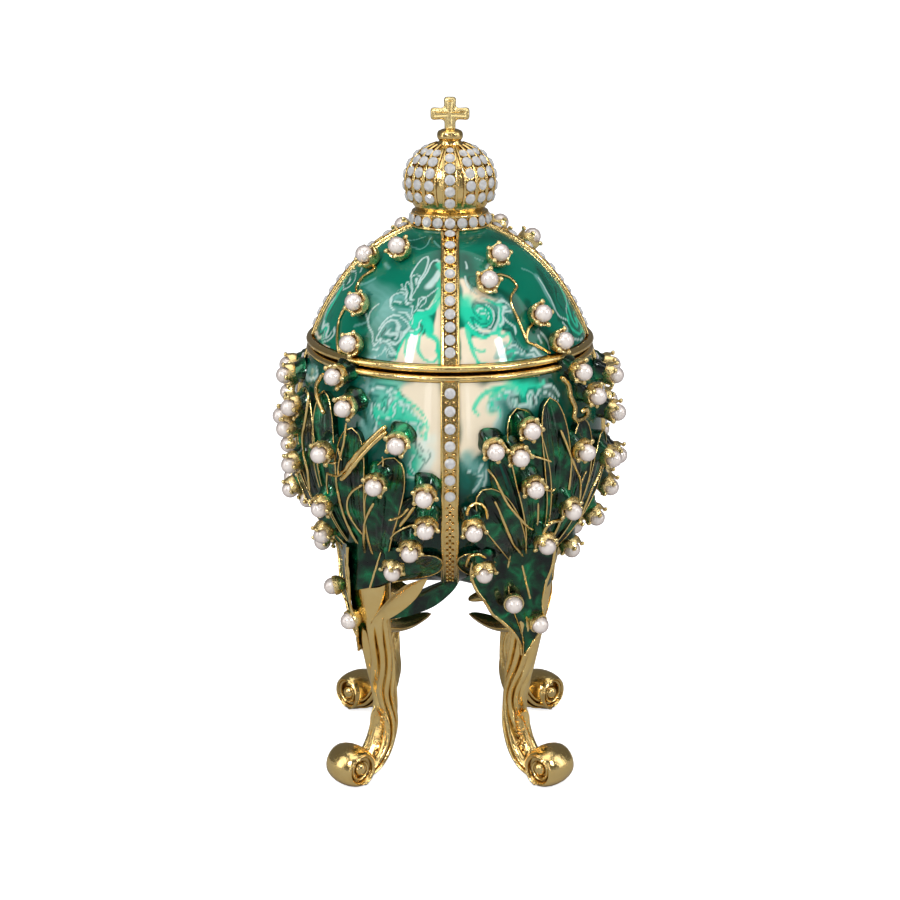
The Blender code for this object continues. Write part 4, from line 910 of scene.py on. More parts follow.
def leaf_blade(middle, leaf):
    """A leaf's dished and ribbed face, with its sides let into the bowl."""
    columns = 22
    proud = leaf[5]

    def where(u, v):
        column = round(u * columns)
        share = min(1.0, max(0.0, (column - 1) / (columns - 2)))
        hollow = math.sin(math.pi * share) ** 0.7 if 0.0 < share < 1.0 else 0.0
        ribs = 0.09 * math.cos(10 * math.pi * share) * hollow
        lift = -0.4 if column in (0, columns) else proud - LEAF_DISH * hollow + ribs
        return leaf_point(middle, leaf, v, 2.0 * share - 1.0, lift)

    return formed(columns, 36, where)


def leaf_outline(middle, leaf):
    """The gold line round a leaf, up one side and down the other."""
    line = []
    for step in range(61):
        v = 1.0 - abs(step / 30.0 - 1.0)
        side = -1.0 if step < 30 else 1.0
        line.append((leaf_point(middle, leaf, v, side, leaf[5]), LEAF_WIRE))
    return line


def tubes(name, lines, finish):
    """Round wires along lines of (point, radius in mm), joined where they are cast together."""
    let_go()
    bpy.ops.curve.primitive_bezier_curve_add()
    curve = bpy.context.active_object
    curve.data.splines.clear()
    for line in lines:
        spline = curve.data.splines.new("POLY")
        spline.points.add(len(line) - 1)
        for spot, (place, radius) in zip(spline.points, line):
            spot.co = (*place, 1.0)
            spot.radius = radius
    curve.data.dimensions = "3D"
    curve.data.bevel_depth = MM
    curve.data.bevel_resolution = 1
    curve.data.use_fill_caps = True
    bpy.ops.object.convert(target="MESH")
    return finished(name, finish, 60.0)


for panel, middle in PANELS.items():
    joined([leaf_blade(middle, leaf) for leaf in LEAF_SHAPES])
    leaves = finished("leaves_" + panel, deep_green, 50.0)
    edges = [leaf_outline(middle, leaf) for leaf in LEAF_SHAPES if leaf[5] >= EDGED_FROM]
    rims = tubes("leaf_edges_" + panel, edges, bright_gold)

# Flowers
# Small bells of five pointed petals with a round grain on each tip, cast with the bowl and the
# lid, and plain cups on the legs, all satin gilt. A pearl is glued in the open side of each.
PEARL_RADIUS = 1.58
PETALS = 5
TIP_OUT, TIP_BACK, TIP_SIZE = 2.2, 0.2, 1.8


def bell(length):
    """A bell whose open side is round the origin and whose stem reaches back a length."""
    profile = ((-length, 0.9), (-2.8, 1.0), (-2.4, 1.7), (-1.6, 2.1), (-0.65, 2.15),
               (-0.6, 1.95), (-1.0, 1.3), (-1.2, 0.0))

    def where(u, v):
        index = round(v * (len(profile) - 1))
        along, radius = profile[index]
        turn = 2.0 * math.pi * u
        petal = math.cos(PETALS * turn)
        if index in (4, 5):
            radius += 0.1 * petal
            along += 0.4 * petal
        elif index == 3:
            radius += 0.1 * petal
        return Vector((radius * math.cos(turn), radius * math.sin(turn), along)) * MM

    made = [formed(PETALS * 6, len(profile) - 1, where)]
    for index in range(PETALS):
        turn = 2.0 * math.pi * index / PETALS
        tip = Vector((TIP_OUT * math.cos(turn), TIP_OUT * math.sin(turn), -TIP_BACK)) * MM
        made.append(placed(grain, Matrix.Translation(tip) @ Matrix.Scale(TIP_SIZE, 4)))
    return joined(made)


def boss(length):
    """The enamelled swelling in the relief that a bell grows from."""
    profile = ((-length - 0.3, 2.5), (-length + 0.7, 2.35), (-2.9, 2.0), (-2.1, 1.85), (-1.9, 1.5),
               (-1.9, 0.0))

    def where(u, v):
        along, radius = profile[round(v * (len(profile) - 1))]
        turn = 2.0 * math.pi * u
        radius *= 1.0 + 0.08 * math.cos(3.0 * turn) + 0.05 * math.cos(5.0 * turn + 1.0)
        return Vector((radius * math.cos(turn), radius * math.sin(turn), along)) * MM

    return formed(24, len(profile) - 1, where)


def plain_cup():
    """The smooth cup that holds a pearl on the leaf of a leg."""
    profile = ((-2.6, 0.9), (-1.9, 1.45), (-1.0, 1.85), (-0.3, 1.85), (-0.25, 1.65), (-1.0, 1.2),
               (-1.2, 0.0))
    return turned([(radius, along) for along, radius in profile], 28)


let_go()
bpy.ops.mesh.primitive_uv_sphere_add(segments=28, ring_count=16, radius=PEARL_RADIUS * MM)
pearl_model = bpy.context.active_object
flatten(0.985)

pearly, tree, shader = new_material("pearl", Coat_Weight=1.0, Coat_Roughness=0.05,
                                    Specular_IOR_Level=0.9, Metallic=0.25)
tone = with_hand_finish(tree, shader, 500.0, 0.5, (0.18, 0.3), 0.05)
# Painted shade: where the pearl is seen edge on its colour is mixed towards a dark rosy brown,
# partly the nacre's rosy tint and partly shade on its rim
grazing = add(tree, "LayerWeight", Blend=0.35)
body = two_tone(tree, tone, (0.82, 0.73, 0.68), (0.95, 0.88, 0.83))
rosy_edge_shade = add(tree, "Mix", {"data_type": "RGBA"})
tree.links.new(grazing.outputs["Facing"], rosy_edge_shade.inputs[0])
tree.links.new(body, rosy_edge_shade.inputs[6])
rosy_edge_shade.inputs[7].default_value = (0.3, 0.2, 0.18, 1.0)
tree.links.new(rosy_edge_shade.outputs[2], shader.inputs["Base Color"])

# Degrees from the panel's middle, and the share of the height: on the bowl from its foot to the
# seam, and on the lid of LID_RISE above the seam
BOWL_FLOWERS = {
    "a": (4.5, 0.943), "b": (10.8, 0.841), "c": (29.5, 0.733), "d": (1.6, 0.651),
    "e": (22.6, 0.572), "f": (-2.0, 0.437), "g": (-20.5, 0.775), "h": (-32.0, 0.713),
    "i": (-24.4, 0.682), "j": (-19.4, 0.558), "k": (37.6, 0.545), "l": (37.6, 0.422),
    "m": (31.7, 0.320), "n": (22.0, 0.216), "o": (-37.8, 0.413), "p": (-9.2, 0.312),
    "q": (-31.9, 0.221),
}
LID_RISE = 21.46
LID_LEFT = {"a": (6.7, 0.83), "b": (-15.3, 0.74), "c": (-1.5, 0.43), "d": (3.2, 0.14)}
LID_RIGHT = {"a": (-11.9, 0.79), "b": (-24.9, 0.63), "c": (-2.8, 0.36), "d": (4.0, 0.14)}
BOWL_LIFT, LID_LIFT = 3.5, 2.7
BOWL_TILT, LID_TILT = 22.0, 8.0


def flower_place(angle, height, lift, tilt):
    """Place of a flower whose open side is tilted down from the egg's normal."""
    normal = egg_normal(angle, height)
    across = Vector((0.0, 0.0, 1.0)).cross(normal).normalized()
    up = normal.cross(across) * math.tan(math.radians(tilt))
    return facing(on_egg(angle, height, lift), (normal - up).normalized())


def bowl_seats(panel):
    """Angle, height and lift of each flower on a panel of the bowl."""
    middle = PANELS[panel]
    hand = -1.0 if panel in LEFT_DESIGN else 1.0
    seats = {}
    for name, (angle, share) in BOWL_FLOWERS.items():
        drift = 3.5 * hand * math.cos(math.radians(2 * angle))
        low = 0.9 if panel.startswith("back") and name in "hk" else 0.0
        seats[name] = (middle + angle + drift, EGG_BOTTOM + (SEAM - EGG_BOTTOM) * share,
                       BOWL_LIFT - low)
    seats["side"] = (middle + hand * 37.5, EGG_BOTTOM + (SEAM - EGG_BOTTOM) * 0.861, BOWL_LIFT)
    return seats


def lid_seats(panel):
    """Angle, height and lift of each flower on a panel of the lid."""
    middle = PANELS[panel]
    flowers = LID_LEFT if panel in LEFT_DESIGN else LID_RIGHT
    return {name: (middle + angle, SEAM + LID_RISE * share, LID_LIFT)
            for name, (angle, share) in flowers.items()}


def set_pearls(owner, panel, places):
    """One pearl in each bell, each standing for its own node where there is one."""
    for name, place in places.items():
        pearl = placed(pearl_model, place)
        bpy.context.view_layer.objects.active = pearl
        pearl.select_set(True)
        node = "pearl_" + owner + "_" + panel + "_" + name
        finished("set_" + node, pearly, 60.0)
        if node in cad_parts:
            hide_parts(node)


stem = BOWL_LIFT / math.cos(math.radians(BOWL_TILT))
bowl_bell = bell(stem + 0.4)
bowl_boss = boss(stem + 0.2)
leg_cup = plain_cup()
lid_bell = bell(LID_LIFT + 0.4)
for panel in PANELS:
    places = {name: flower_place(*seat_at, BOWL_TILT)
              for name, seat_at in bowl_seats(panel).items()}
    bosses = copies("bowl_bosses_" + panel, bowl_boss, places.values(), deep_green, 50.0)
    cups = copies("bowl_flowers_" + panel, bowl_bell, places.values(), satin_gold, 40.0)
    set_pearls("bowl", panel, places)
    places = {name: flower_place(*seat_at, LID_TILT)
              for name, seat_at in lid_seats(panel).items()}
    cups = copies("lid_flowers_" + panel, lid_bell, places.values(), satin_gold, 40.0)
    set_pearls("lid", panel, places)

# Stems
# Wire-like stalks and leaf edges that run from the feet of the leaves to the flowers, cast
# with the shell and polished. Each has its radius, its lift and a line of (degrees, height).
LEFT_STEMS = (
    (0.5, 1.6, ((5.1, 61.5), (7.3, 62.5), (13.0, 66.2), (17.5, 68.6), (22.9, 71.1))),
    (0.45, 2.2, ((5.6, 60.7), (8.6, 62.0), (14.2, 65.4), (18.6, 67.9), (23.6, 70.3))),
    (0.22, 1.6, ((3.3, 61.0), (4.2, 63.6), (6.2, 67.2), (6.7, 70.6))),
    (0.2, 1.6, ((5.3, 63.9), (4.2, 64.9), (3.5, 65.9))),
    (0.25, 1.6, ((-2.4, 60.9), (1.5, 60.8), (4.4, 61.3), (6.3, 62.0))),
    (0.2, 1.5, ((-2.4, 60.9), (-3.3, 58.6), (-3.6, 56.9), (-4.0, 55.1))),
    (0.22, 1.8, ((-2.9, 62.8), (1.0, 63.0), (3.2, 63.4))),
    (0.28, 1.5, ((13.7, 60.3), (9.3, 58.8), (6.3, 56.8), (5.3, 54.4), (6.9, 52.4), (9.0, 50.5))),
    (0.26, 1.7, ((17.9, 57.4), (15.1, 55.3), (12.6, 53.3), (10.4, 50.9), (7.7, 48.4), (3.7, 44.9))),
    (0.2, 1.2, ((21.4, 65.7), (21.7, 64.7), (21.4, 63.6))),
    (0.3, 2.0, ((27.0, 53.8), (30.1, 55.7), (33.0, 57.7))),
    (0.25, 2.0, ((23.2, 54.7), (27.4, 55.6), (30.9, 57.3))),
    (0.2, 1.6, ((21.7, 50.6), (24.7, 52.1), (29.7, 53.6), (32.0, 54.1))),
    (0.28, 1.6, ((-18.8, 73.6), (-15.7, 72.9), (-16.1, 69.1), (-17.8, 65.4), (-16.6, 62.5),
                 (-14.7, 59.4), (-16.4, 56.1))),
    (0.45, 1.8, ((-8.3, 77.6), (-10.8, 75.5), (-8.3, 73.2), (-4.0, 71.2))),
)
RIGHT_STEMS = (
    (0.2, 1.5, ((-16.4, 65.6), (-12.0, 64.8), (-8.2, 63.9))),
    (0.2, 1.5, ((-10.9, 59.2), (-6.8, 58.6), (-5.9, 59.0))),
    (0.24, 1.5, ((-32.4, 64.1), (-29.8, 62.4), (-27.6, 60.1), (-24.6, 57.4), (-20.6, 55.2),
                 (-15.4, 52.6), (-12.2, 51.7))),
    (0.24, 1.5, ((-3.7, 69.1), (-0.4, 65.6), (3.6, 61.6), (6.9, 59.3), (8.6, 57.1), (10.0, 54.9))),
    (0.2, 1.5, ((8.3, 58.3), (9.5, 59.8), (10.8, 60.2))),
    (0.26, 1.5, ((24.3, 60.4), (22.7, 58.3), (18.3, 55.8), (17.6, 52.1), (20.1, 49.3))),
    (0.5, 1.7, ((-0.6, 77.8), (2.5, 76.1), (2.4, 74.3), (4.1, 72.3), (3.0, 70.8), (5.0, 69.9),
                (10.2, 70.2), (10.6, 71.3), (7.2, 71.2))),
    (0.35, 2.2, ((-7.9, 50.7), (-7.1, 52.5), (-3.9, 53.0), (0.3, 52.7))),
    (0.35, 1.6, ((-38.4, 54.8), (-39.1, 56.8), (-37.3, 58.0), (-34.3, 58.0), (-32.3, 56.7),
                 (-31.8, 55.2))),
    (0.3, 1.6, ((-37.8, 45.2), (-37.1, 47.4), (-33.6, 48.0), (-29.4, 46.7), (-24.6, 43.8))),
    (0.24, 1.5, ((-29.6, 58.3), (-27.7, 56.5), (-25.6, 54.3), (-22.2, 51.3), (-18.2, 48.7),
                 (-10.7, 45.7))),
    (0.2, 1.5, ((-12.7, 56.9), (-10.7, 52.5))),
)
LID_LEFT_STEMS = (
    (0.3, 0.2, ((-6.6, 81.7), (-10.2, 83.7), (-14.4, 86.6))),
    (0.3, 0.25, ((-14.4, 86.6), (-13.9, 88.9), (-9.2, 90.2), (-9.3, 91.2), (-13.8, 92.3),
                 (-14.1, 93.9), (-8.6, 95.4), (-13.7, 96.1), (-19.5, 96.3))),
)
LID_RIGHT_STEMS = (
    (0.28, 0.25, ((-0.2, 82.0), (-3.4, 82.9), (-7.9, 84.0), (-11.0, 84.7), (-8.4, 86.6),
                  (-1.3, 87.7), (3.4, 88.5))),
    (0.25, 0.25, ((-11.0, 84.7), (-12.4, 88.0), (-13.4, 90.8), (-11.8, 92.0), (-8.0, 92.8),
                  (-5.6, 93.4), (-7.7, 94.7), (-14.7, 95.4), (-21.4, 94.8))),
)
for panel, middle in PANELS.items():
    left = panel in LEFT_DESIGN
    for owner, stems in (("bowl", LEFT_STEMS if left else RIGHT_STEMS),
                         ("lid", LID_LEFT_STEMS if left else LID_RIGHT_STEMS)):
        lines = []
        for radius, lift, line in stems:
            path = rounded(line, 0.8)
            last = len(path) - 1
            lines.append([(on_egg(middle + p[0], p[1], lift),
                           radius * (1.0 if 0 < index < last else 0.6))
                          for index, p in enumerate(path)])
        stalks = tubes(owner + "_stems_" + panel, lines, bright_gold)

# Crown
# One casting on top of the lid: a jewelled ring, a ball with stone-set ribs, a collar and a
# flat cross. It is gilt all over, with clear stones glued in.
CROWN_FOOT, RING_TOP, BALL_TOP, COLLAR_TOP = 101.76, 104.76, 116.76, 119.16
BALL_MIDDLE = RING_TOP + 0.42 * (BALL_TOP - RING_TOP)
BALL_RADIUS, NECK_RADIUS, TOP_RADIUS = 8.1, 6.2, 2.3
RING_STONES, RING_STONE_OUT, STONE_LIFT = 20, 6.85, 0.28
RIBS = [quarter * 90.0 + angle for quarter in range(4) for angle in (0.0, 27.0, 45.0, 63.0)]
# Shares of the ball's height that carry a stone, on the ribs above the bands and between them
MAIN_STONES = (0.17, 0.31, 0.45, 0.59, 0.73, 0.86)
SIDE_STONES = (0.22, 0.37, 0.52, 0.67, 0.8)


def ball_point(angle, share, lift=0.0):
    """A point on the crown's ball, share 0 at its neck and 1 at its top."""
    low = math.asin(NECK_RADIUS / BALL_RADIUS)
    top = math.asin(TOP_RADIUS / BALL_RADIUS)
    turn = low + (math.pi - top - low) * share
    if turn < 0.5 * math.pi:
        rise = -(BALL_MIDDLE - RING_TOP) * math.cos(turn) / math.cos(low)
    else:
        rise = -(BALL_TOP - BALL_MIDDLE) * math.cos(turn) / math.cos(top)
    out = Vector((math.sin(turn), -math.cos(turn)))
    return polar(angle, (BALL_RADIUS + lift) * out.x, BALL_MIDDLE + rise + lift * out.y)


formed(192, 40, lambda u, v: ball_point(360.0 * u, v, -0.15))
ball = finished("crown_ball", bright_gold)
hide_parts("crown")

ring = [(4.0, CROWN_FOOT + 0.6), (6.95, CROWN_FOOT - 0.1)]
ring += bead(7.0, CROWN_FOOT + 0.3, 0.3, 0.2, 6)
ring += [(6.75, CROWN_FOOT + 0.7), (6.7, CROWN_FOOT + 2.3)]
ring += bead(6.8, CROWN_FOOT + 2.6, 0.28, 0.2, 6)
ring += [(6.3, CROWN_FOOT + 3.0), (6.1, RING_TOP + 0.2)]
turned(ring, 96)
ring = finished("crown_ring", bright_gold)

ring_seats = []
for index in range(RING_STONES):
    angle = 360.0 / RING_STONES * index
    ring_seats.append(facing(polar(angle, RING_STONE_OUT, CROWN_FOOT + 1.5),
                             polar(angle, 1.0, 0.15).normalized()))
in_seat = Matrix.Translation((0, 0, STONE_LIFT * MM))
copies("crown_ring_seats", seat, ring_seats, bright_gold)
set_stones("crown_ring_stones", [place @ in_seat for place in ring_seats])

wires = []
rib_seats = []
for rib in RIBS:
    for side in (-1.0, 1.0):
        line = []
        for step in range(25):
            share = 0.12 + 0.84 * step / 24
            place = ball_point(rib, share)
            radius = math.hypot(place.x, place.y) / MM
            half = min(1.1, 0.18 * radius)
            line.append((ball_point(rib + side * math.degrees(half / radius), share, 0.05), 0.2))
        wires.append(line)
    for share in MAIN_STONES if rib % 90.0 == 0.0 else SIDE_STONES:
        place = ball_point(rib, share)
        size = min(1.0, math.hypot(place.x, place.y) / (NECK_RADIUS * MM))
        out = (ball_point(rib, share, 1.0) - place).normalized()
        rib_seats.append(facing(ball_point(rib, share, -0.1), out) @ Matrix.Scale(size, 4))
tubes("crown_rib_wires", wires, bright_gold)
copies("crown_rib_seats", seat, rib_seats, bright_gold)
set_stones("crown_rib_stones", [place @ in_seat for place in rib_seats])

collar = [(2.2, BALL_TOP - 0.3), (2.05, BALL_TOP + 0.3)]
collar += bead(1.9, BALL_TOP + 1.35, 0.85, 0.45, 10) + [(1.5, COLLAR_TOP), (0.0, COLLAR_TOP)]
turned(collar, 48)
collar = finished("crown_collar", bright_gold)

CROSS_FOOT, CROSS_ARM_Z, CROSS_TOP = COLLAR_TOP - 0.3, COLLAR_TOP + 2.78, COLLAR_TOP + 5.79
HEART_HALF, HEART_DEPTH = 1.0, 1.4
let_go()
bpy.ops.mesh.primitive_cube_add(size=1.0)
cross = bpy.context.active_object
bpy.ops.object.mode_set(mode="EDIT")
bpy.ops.mesh.select_all(action="SELECT")
bpy.ops.transform.resize(value=Vector((2.0 * HEART_HALF, HEART_DEPTH, 2.0 * HEART_HALF)) * MM)
bpy.ops.transform.translate(value=(0, 0, CROSS_ARM_Z * MM))
bpy.ops.object.mode_set(mode="OBJECT")
ARMS = (((1, 0, 0), 2.5), ((-1, 0, 0), 2.5), ((0, 0, 1), CROSS_TOP - CROSS_ARM_Z - HEART_HALF),
        ((0, 0, -1), CROSS_ARM_Z - HEART_HALF - CROSS_FOOT))
heart = Vector((0, 0, CROSS_ARM_Z)) * MM
for way, reach in ARMS:
    way = Vector(way)
    pick_faces(cross, lambda face: (face.center - heart).normalized().dot(way) > 0.99)
    grow(way * reach, (1.15 if way.z > 0 else 1.0, 1.0, 1.15 if way.x else 1.0))
    bpy.ops.object.mode_set(mode="OBJECT")
soft = cross.modifiers.new("soft_edges", "BEVEL")
soft.width = 0.6 * MM
soft.segments = 3
bpy.ops.object.modifier_apply(modifier=soft.name)
pick_faces(cross, lambda face: abs(face.normal.y) > 0.99)
bpy.ops.mesh.inset(thickness=0.2 * MM, depth=-0.15 * MM)
bpy.ops.object.mode_set(mode="OBJECT")
cross = finished("cross", satin_gold)

# Legs
# Four castings soldered under the bowl, gilt. Each bows in to the ankle and swings out into a
# scroll. A cup of leaves and a long leaf in green enamel cover its knee, and a channel with a
# row of beads runs down its outer face.
LEG_REACH, ANKLE, SCROLL = 24.83, 17.03, 26.13
LEG_TOP, ANKLE_Z = 45.8, 13.5
HALF_WIDTH, HALF_DEPTH = 5.3, 3.2
BOW, SWING = LEG_REACH - ANKLE, SCROLL - ANKLE
SCROLL_Z = 3.65
FLUTES_TOP, CROSSING, CHANNEL_TOP = 32.5, 15.5, 12.8
LEG_BEADS = 10


def leg_rise(share):
    """Height at a share of the way from the ankle to the leg's top."""
    return ANKLE_Z + (LEG_TOP - ANKLE_Z) * share


# Stations of the bar: distance out, height, lean, half width and half depth
BAR = [(ANKLE + BOW * out, leg_rise(up), lean, HALF_WIDTH * wide, HALF_DEPTH * deep)
       for out, up, lean, wide, deep in (
           (0.5, 0.8, 14.0, 0.86, 0.92), (0.48, 0.72, 12.0, 0.84, 0.88),
           (0.43, 0.58, 11.0, 0.74, 0.82), (0.34, 0.44, 9.0, 0.66, 0.78),
           (0.24, 0.33, 6.0, 0.62, 0.76),
           (0.12, 0.18, 4.0, 0.56, 0.66), (0.02, 0.0, -2.0, 0.5, 0.56))]
BAR += [(ANKLE + SWING * out, ANKLE_Z * up, lean, HALF_WIDTH * wide, HALF_DEPTH * deep)
        for out, up, lean, wide, deep in (
            (0.05, 0.70, -20.0, 0.58, 0.56), (0.2, 0.41, -42.0, 0.62, 0.52),
            (0.47, 0.21, -66.0, 0.62, 0.45), (0.8, 0.12, -84.0, 0.58, 0.41))]


def leg_bar():
    """The bar: smooth at the knee, then fluted, with strands that cross at the ankle."""
    path = rounded([Vector(station) for station in BAR], 0.5)
    rows = len(path) - 1

    def where(u, v):
        out, height, lean, wide, deep = path[round(v * rows)]
        if v in (0.0, 1.0):
            wide, deep = 0.0, 0.0
        turn = 2.0 * math.pi * u
        twist = 0.9 * math.exp(-((height - CROSSING) / 5.0) ** 2)
        fluted = 0.34 * min(1.0, max(0.0, (FLUTES_TOP - height) / 6.0))
        flute = 1.0 - fluted * (1.0 - abs(math.sin(4.5 * (turn + twist)))) ** 1.6
        edge = abs(math.sin(turn))
        low = min(1.0, max(0.0, (CHANNEL_TOP - height) / 2.5)) if math.cos(turn) > 0.0 else 0.0
        sunk = low * (1.25 * max(0.0, 1.0 - (edge / 0.5) ** 3)
                      - 0.4 * math.exp(-((edge - 0.62) / 0.1) ** 2))
        across = wide * math.copysign(edge ** 0.8, math.sin(turn)) * flute
        forward = deep * math.copysign(abs(math.cos(turn)) ** 0.9, math.cos(turn)) * flute - sunk
        tilt = math.radians(lean)
        return Vector((out + forward * math.cos(tilt), across,
                       height - forward * math.sin(tilt))) * MM

    return formed(108, rows, where, closed=True)


def scroll():
    """The rolled end: a barrel across the leg, hollow at both ends, with a ball in each."""
    half = ((-3.55, 0.0), (-3.4, 0.75), (-3.0, 1.15), (-2.45, 1.35), (-2.3, 1.9), (-2.5, 2.45),
            (-3.25, 2.7), (-3.45, 2.95), (-3.2, 3.25), (-2.5, 3.55), (-1.3, 3.82), (0.0, 3.9))
    profile = half + tuple((-across, radius) for across, radius in reversed(half[:-1]))

    def where(u, v):
        across, radius = profile[round(v * (len(profile) - 1))]
        turn = 2.0 * math.pi * u
        height = max(0.02, SCROLL_Z + radius * math.sin(turn))
        return Vector((SCROLL + radius * math.cos(turn), across, height)) * MM

    return formed(56, len(profile) - 1, where, closed=True)


def coils():
    """The strip's end, rolled up over the hollow ends of the barrel."""
    lines = []
    for side in (-1.0, 1.0):
        line = []
        for step in range(49):
            share = step / 48
            turn = math.radians(-100.0 - 500.0 * share)
            radius = 3.1 - 1.75 * share
            place = Vector((SCROLL + radius * math.cos(turn), side * (3.2 - 0.5 * share),
                            SCROLL_Z + radius * math.sin(turn))) * MM
            line.append((place, 0.4 - 0.15 * share))
        lines.append(line)
    return lines


def spur():
    """The gilt leaf that curls in under the bowl, dished like a spoon and pointed."""
    root, length, tip_z = ANKLE + 0.42 * BOW, 15.3, 28.0
    root_z = leg_rise(0.5)

    def where(u, v):
        out = root - length * v
        height = root_z + (tip_z - root_z) * v - 1.6 * math.sin(math.pi * v)
        half = 2.5 * math.sin(math.pi * (0.2 + 0.8 * v)) ** 0.6 if v < 1.0 else 0.0
        turn = 2.0 * math.pi * u
        across = half * math.cos(turn)
        dish = 1.3 * math.cos(turn) ** 2 * min(1.0, 0.5 * half) * (0.3 + 0.7 * v)
        thick = (0.3 + 0.7 * (1.0 - v) ** 2) * math.sin(turn) * min(1.0, half)
        return Vector((out, across, height + dish + thick)) * MM

    return formed(40, 36, where, closed=True)


CUP_LOBES = 5
CUP_RIM, CUP_WAIST = 16.0, 20.7


def cup_point(turn, share, lift=0.0):
    """A point on the cup of leaves, from its rim under the bowl to its waist at the knee."""
    lobe = 1.0 + 0.1 * math.cos(CUP_LOBES * turn) * (1.0 - 0.6 * share)
    rim = Vector((CUP_RIM + 8.6 * lobe * math.cos(turn), 9.4 * lobe * math.sin(turn)))
    reach = min(0.98, rim.length / EGG_RADIUS)
    rim_z = EGG_WIDEST - egg_half(above=False) * math.sqrt(1.0 - reach * reach)
    waist = Vector((CUP_WAIST + (3.5 + lift) * math.cos(turn), (5.0 + lift) * math.sin(turn)))
    waist_z = 37.6 + 1.7 * math.sin(turn)
    place = rim.lerp(waist, share ** 0.9)
    return Vector((*place, rim_z + (waist_z - rim_z) * share ** 0.85 - lift)) * MM


def leaf_cup():
    """The cup of green leaves that joins the leg to the bowl."""
    rows = 26

    def where(u, v):
        row = round(v * rows)
        if row == 0:
            return Vector((CUP_RIM, 0.0, 39.6)) * MM
        if row == rows:
            return Vector((CUP_WAIST, 0.0, 38.4)) * MM
        return cup_point(2.0 * math.pi * u, (row - 1) / (rows - 2))

    return formed(80, rows, where, closed=True)


# Middle lines of the folded leaves beside the knee: out, across, height and half width
GILT_FOLD = ((22.6, 2.0, 31.0, 0.4), (20.9, 4.4, 34.2, 2.0), (17.8, 6.6, 37.4, 2.2),
             (14.0, 8.2, 39.4, 0.1))
GREEN_FOLD = ((20.2, 2.6, 31.6, 0.4), (17.6, 4.6, 33.6, 2.2), (13.6, 6.4, 35.2, 2.8),
              (9.4, 8.0, 36.8, 1.9), (6.6, 9.2, 37.6, 0.1))


def fold(spots):
    """A leaf beside the knee, turned out from under the bowl; dished along its line."""
    path = rounded([Vector(spot) for spot in spots], 0.5)
    rows = len(path) - 1

    def where(u, v):
        out, across, height, half = path[round(v * rows)]
        if v in (0.0, 1.0):
            half = 0.0
        turn = 2.0 * math.pi * u
        wide = half * math.cos(turn)
        dish = 0.45 * wide * wide / max(half, 0.1)
        thick = 0.35 * math.sin(turn) * min(1.0, half)
        return Vector((out + 0.6 * wide - 0.3 * (dish + thick), across + 0.6 * (dish + thick),
                       height + 0.75 * wide - 0.2 * dish)) * MM

    return formed(32, rows, where, closed=True)


leg_model = joined([leg_bar(), scroll(), spur(), fold(GILT_FOLD)])
leg_top = joined([leaf_cup(), fold(GREEN_FOLD)])

# The two edges of the leaf that grows down the front of the leg
LEAF_LEFT = rounded(((18.5, -12.5, 45.5), (17.2, -11.9, 42.0), (17.5, -10.9, 38.9),
                     (18.5, -9.5, 36.4), (19.0, -8.2, 34.0), (19.4, -6.4, 32.4),
                     (20.2, -4.0, 29.8), (19.9, -1.9, 27.0), (19.0, -0.6, 24.6)), 0.2)
LEAF_RIGHT = rounded(((25.0, 1.5, 46.5), (24.8, 1.2, 43.0), (23.8, 0.6, 39.5),
                      (23.4, 0.2, 36.0), (23.0, 0.8, 32.8), (22.0, 1.1, 29.8),
                      (20.7, 0.4, 27.2), (19.1, -0.1, 24.6)), 0.2)


def leg_leaf_point(u, v, lift=0.0):
    """A point on the leg's leaf, from its left edge to its right one, seen from outside."""
    left = LEAF_LEFT[round(v * (len(LEAF_LEFT) - 1))]
    right = LEAF_RIGHT[round(v * (len(LEAF_RIGHT) - 1))]
    spot = left + (right - left) * u
    wide = np.linalg.norm(right - left)
    dish = min(0.5, 0.12 * wide) * math.sin(math.pi * u) - 0.6 - 1.3 * u - 1.5 * v * v
    ribs = 0.012 * wide * math.cos(10.0 * math.pi * u) * math.sin(math.pi * u)
    return Vector(spot + (lift + ribs - dish) * np.array((0.78, -0.62, 0.0))) * MM


leg_leaf = formed(28, 40, leg_leaf_point)
leaf_edge = [[(leg_leaf_point(side, step / 40.0), 0.3) for step in range(41)]
             for side in (0.0, 1.0)]
veins = [[(leg_leaf_point(0.45, step / 40.0, 0.1), 0.16) for step in range(41)]]
for lobe in range(CUP_LOBES):
    turn = 2.0 * math.pi * (lobe + 0.5) / CUP_LOBES
    veins.append([(cup_point(turn, step / 16.0, 0.05), 0.2) for step in range(17)])
# The ways that a leg's two pearls look
PEARL_LOOKS = ((0.75, -0.62, -0.2), (0.93, -0.1, -0.35))

channel = []
for out, height, lean, wide, deep in rounded([Vector(station) for station in BAR[6:]], 1.0):
    forward = max(0.0, deep * 0.83 - 1.0)
    if 3.0 < height < CHANNEL_TOP - 0.4:
        channel.append(Vector((out + forward * math.cos(math.radians(lean)), 0.0,
                               height - forward * math.sin(math.radians(lean)))) * MM)
apart = (len(channel) - 1) / (LEG_BEADS - 1)
channel = [channel[round(index * apart)] for index in range(LEG_BEADS)]

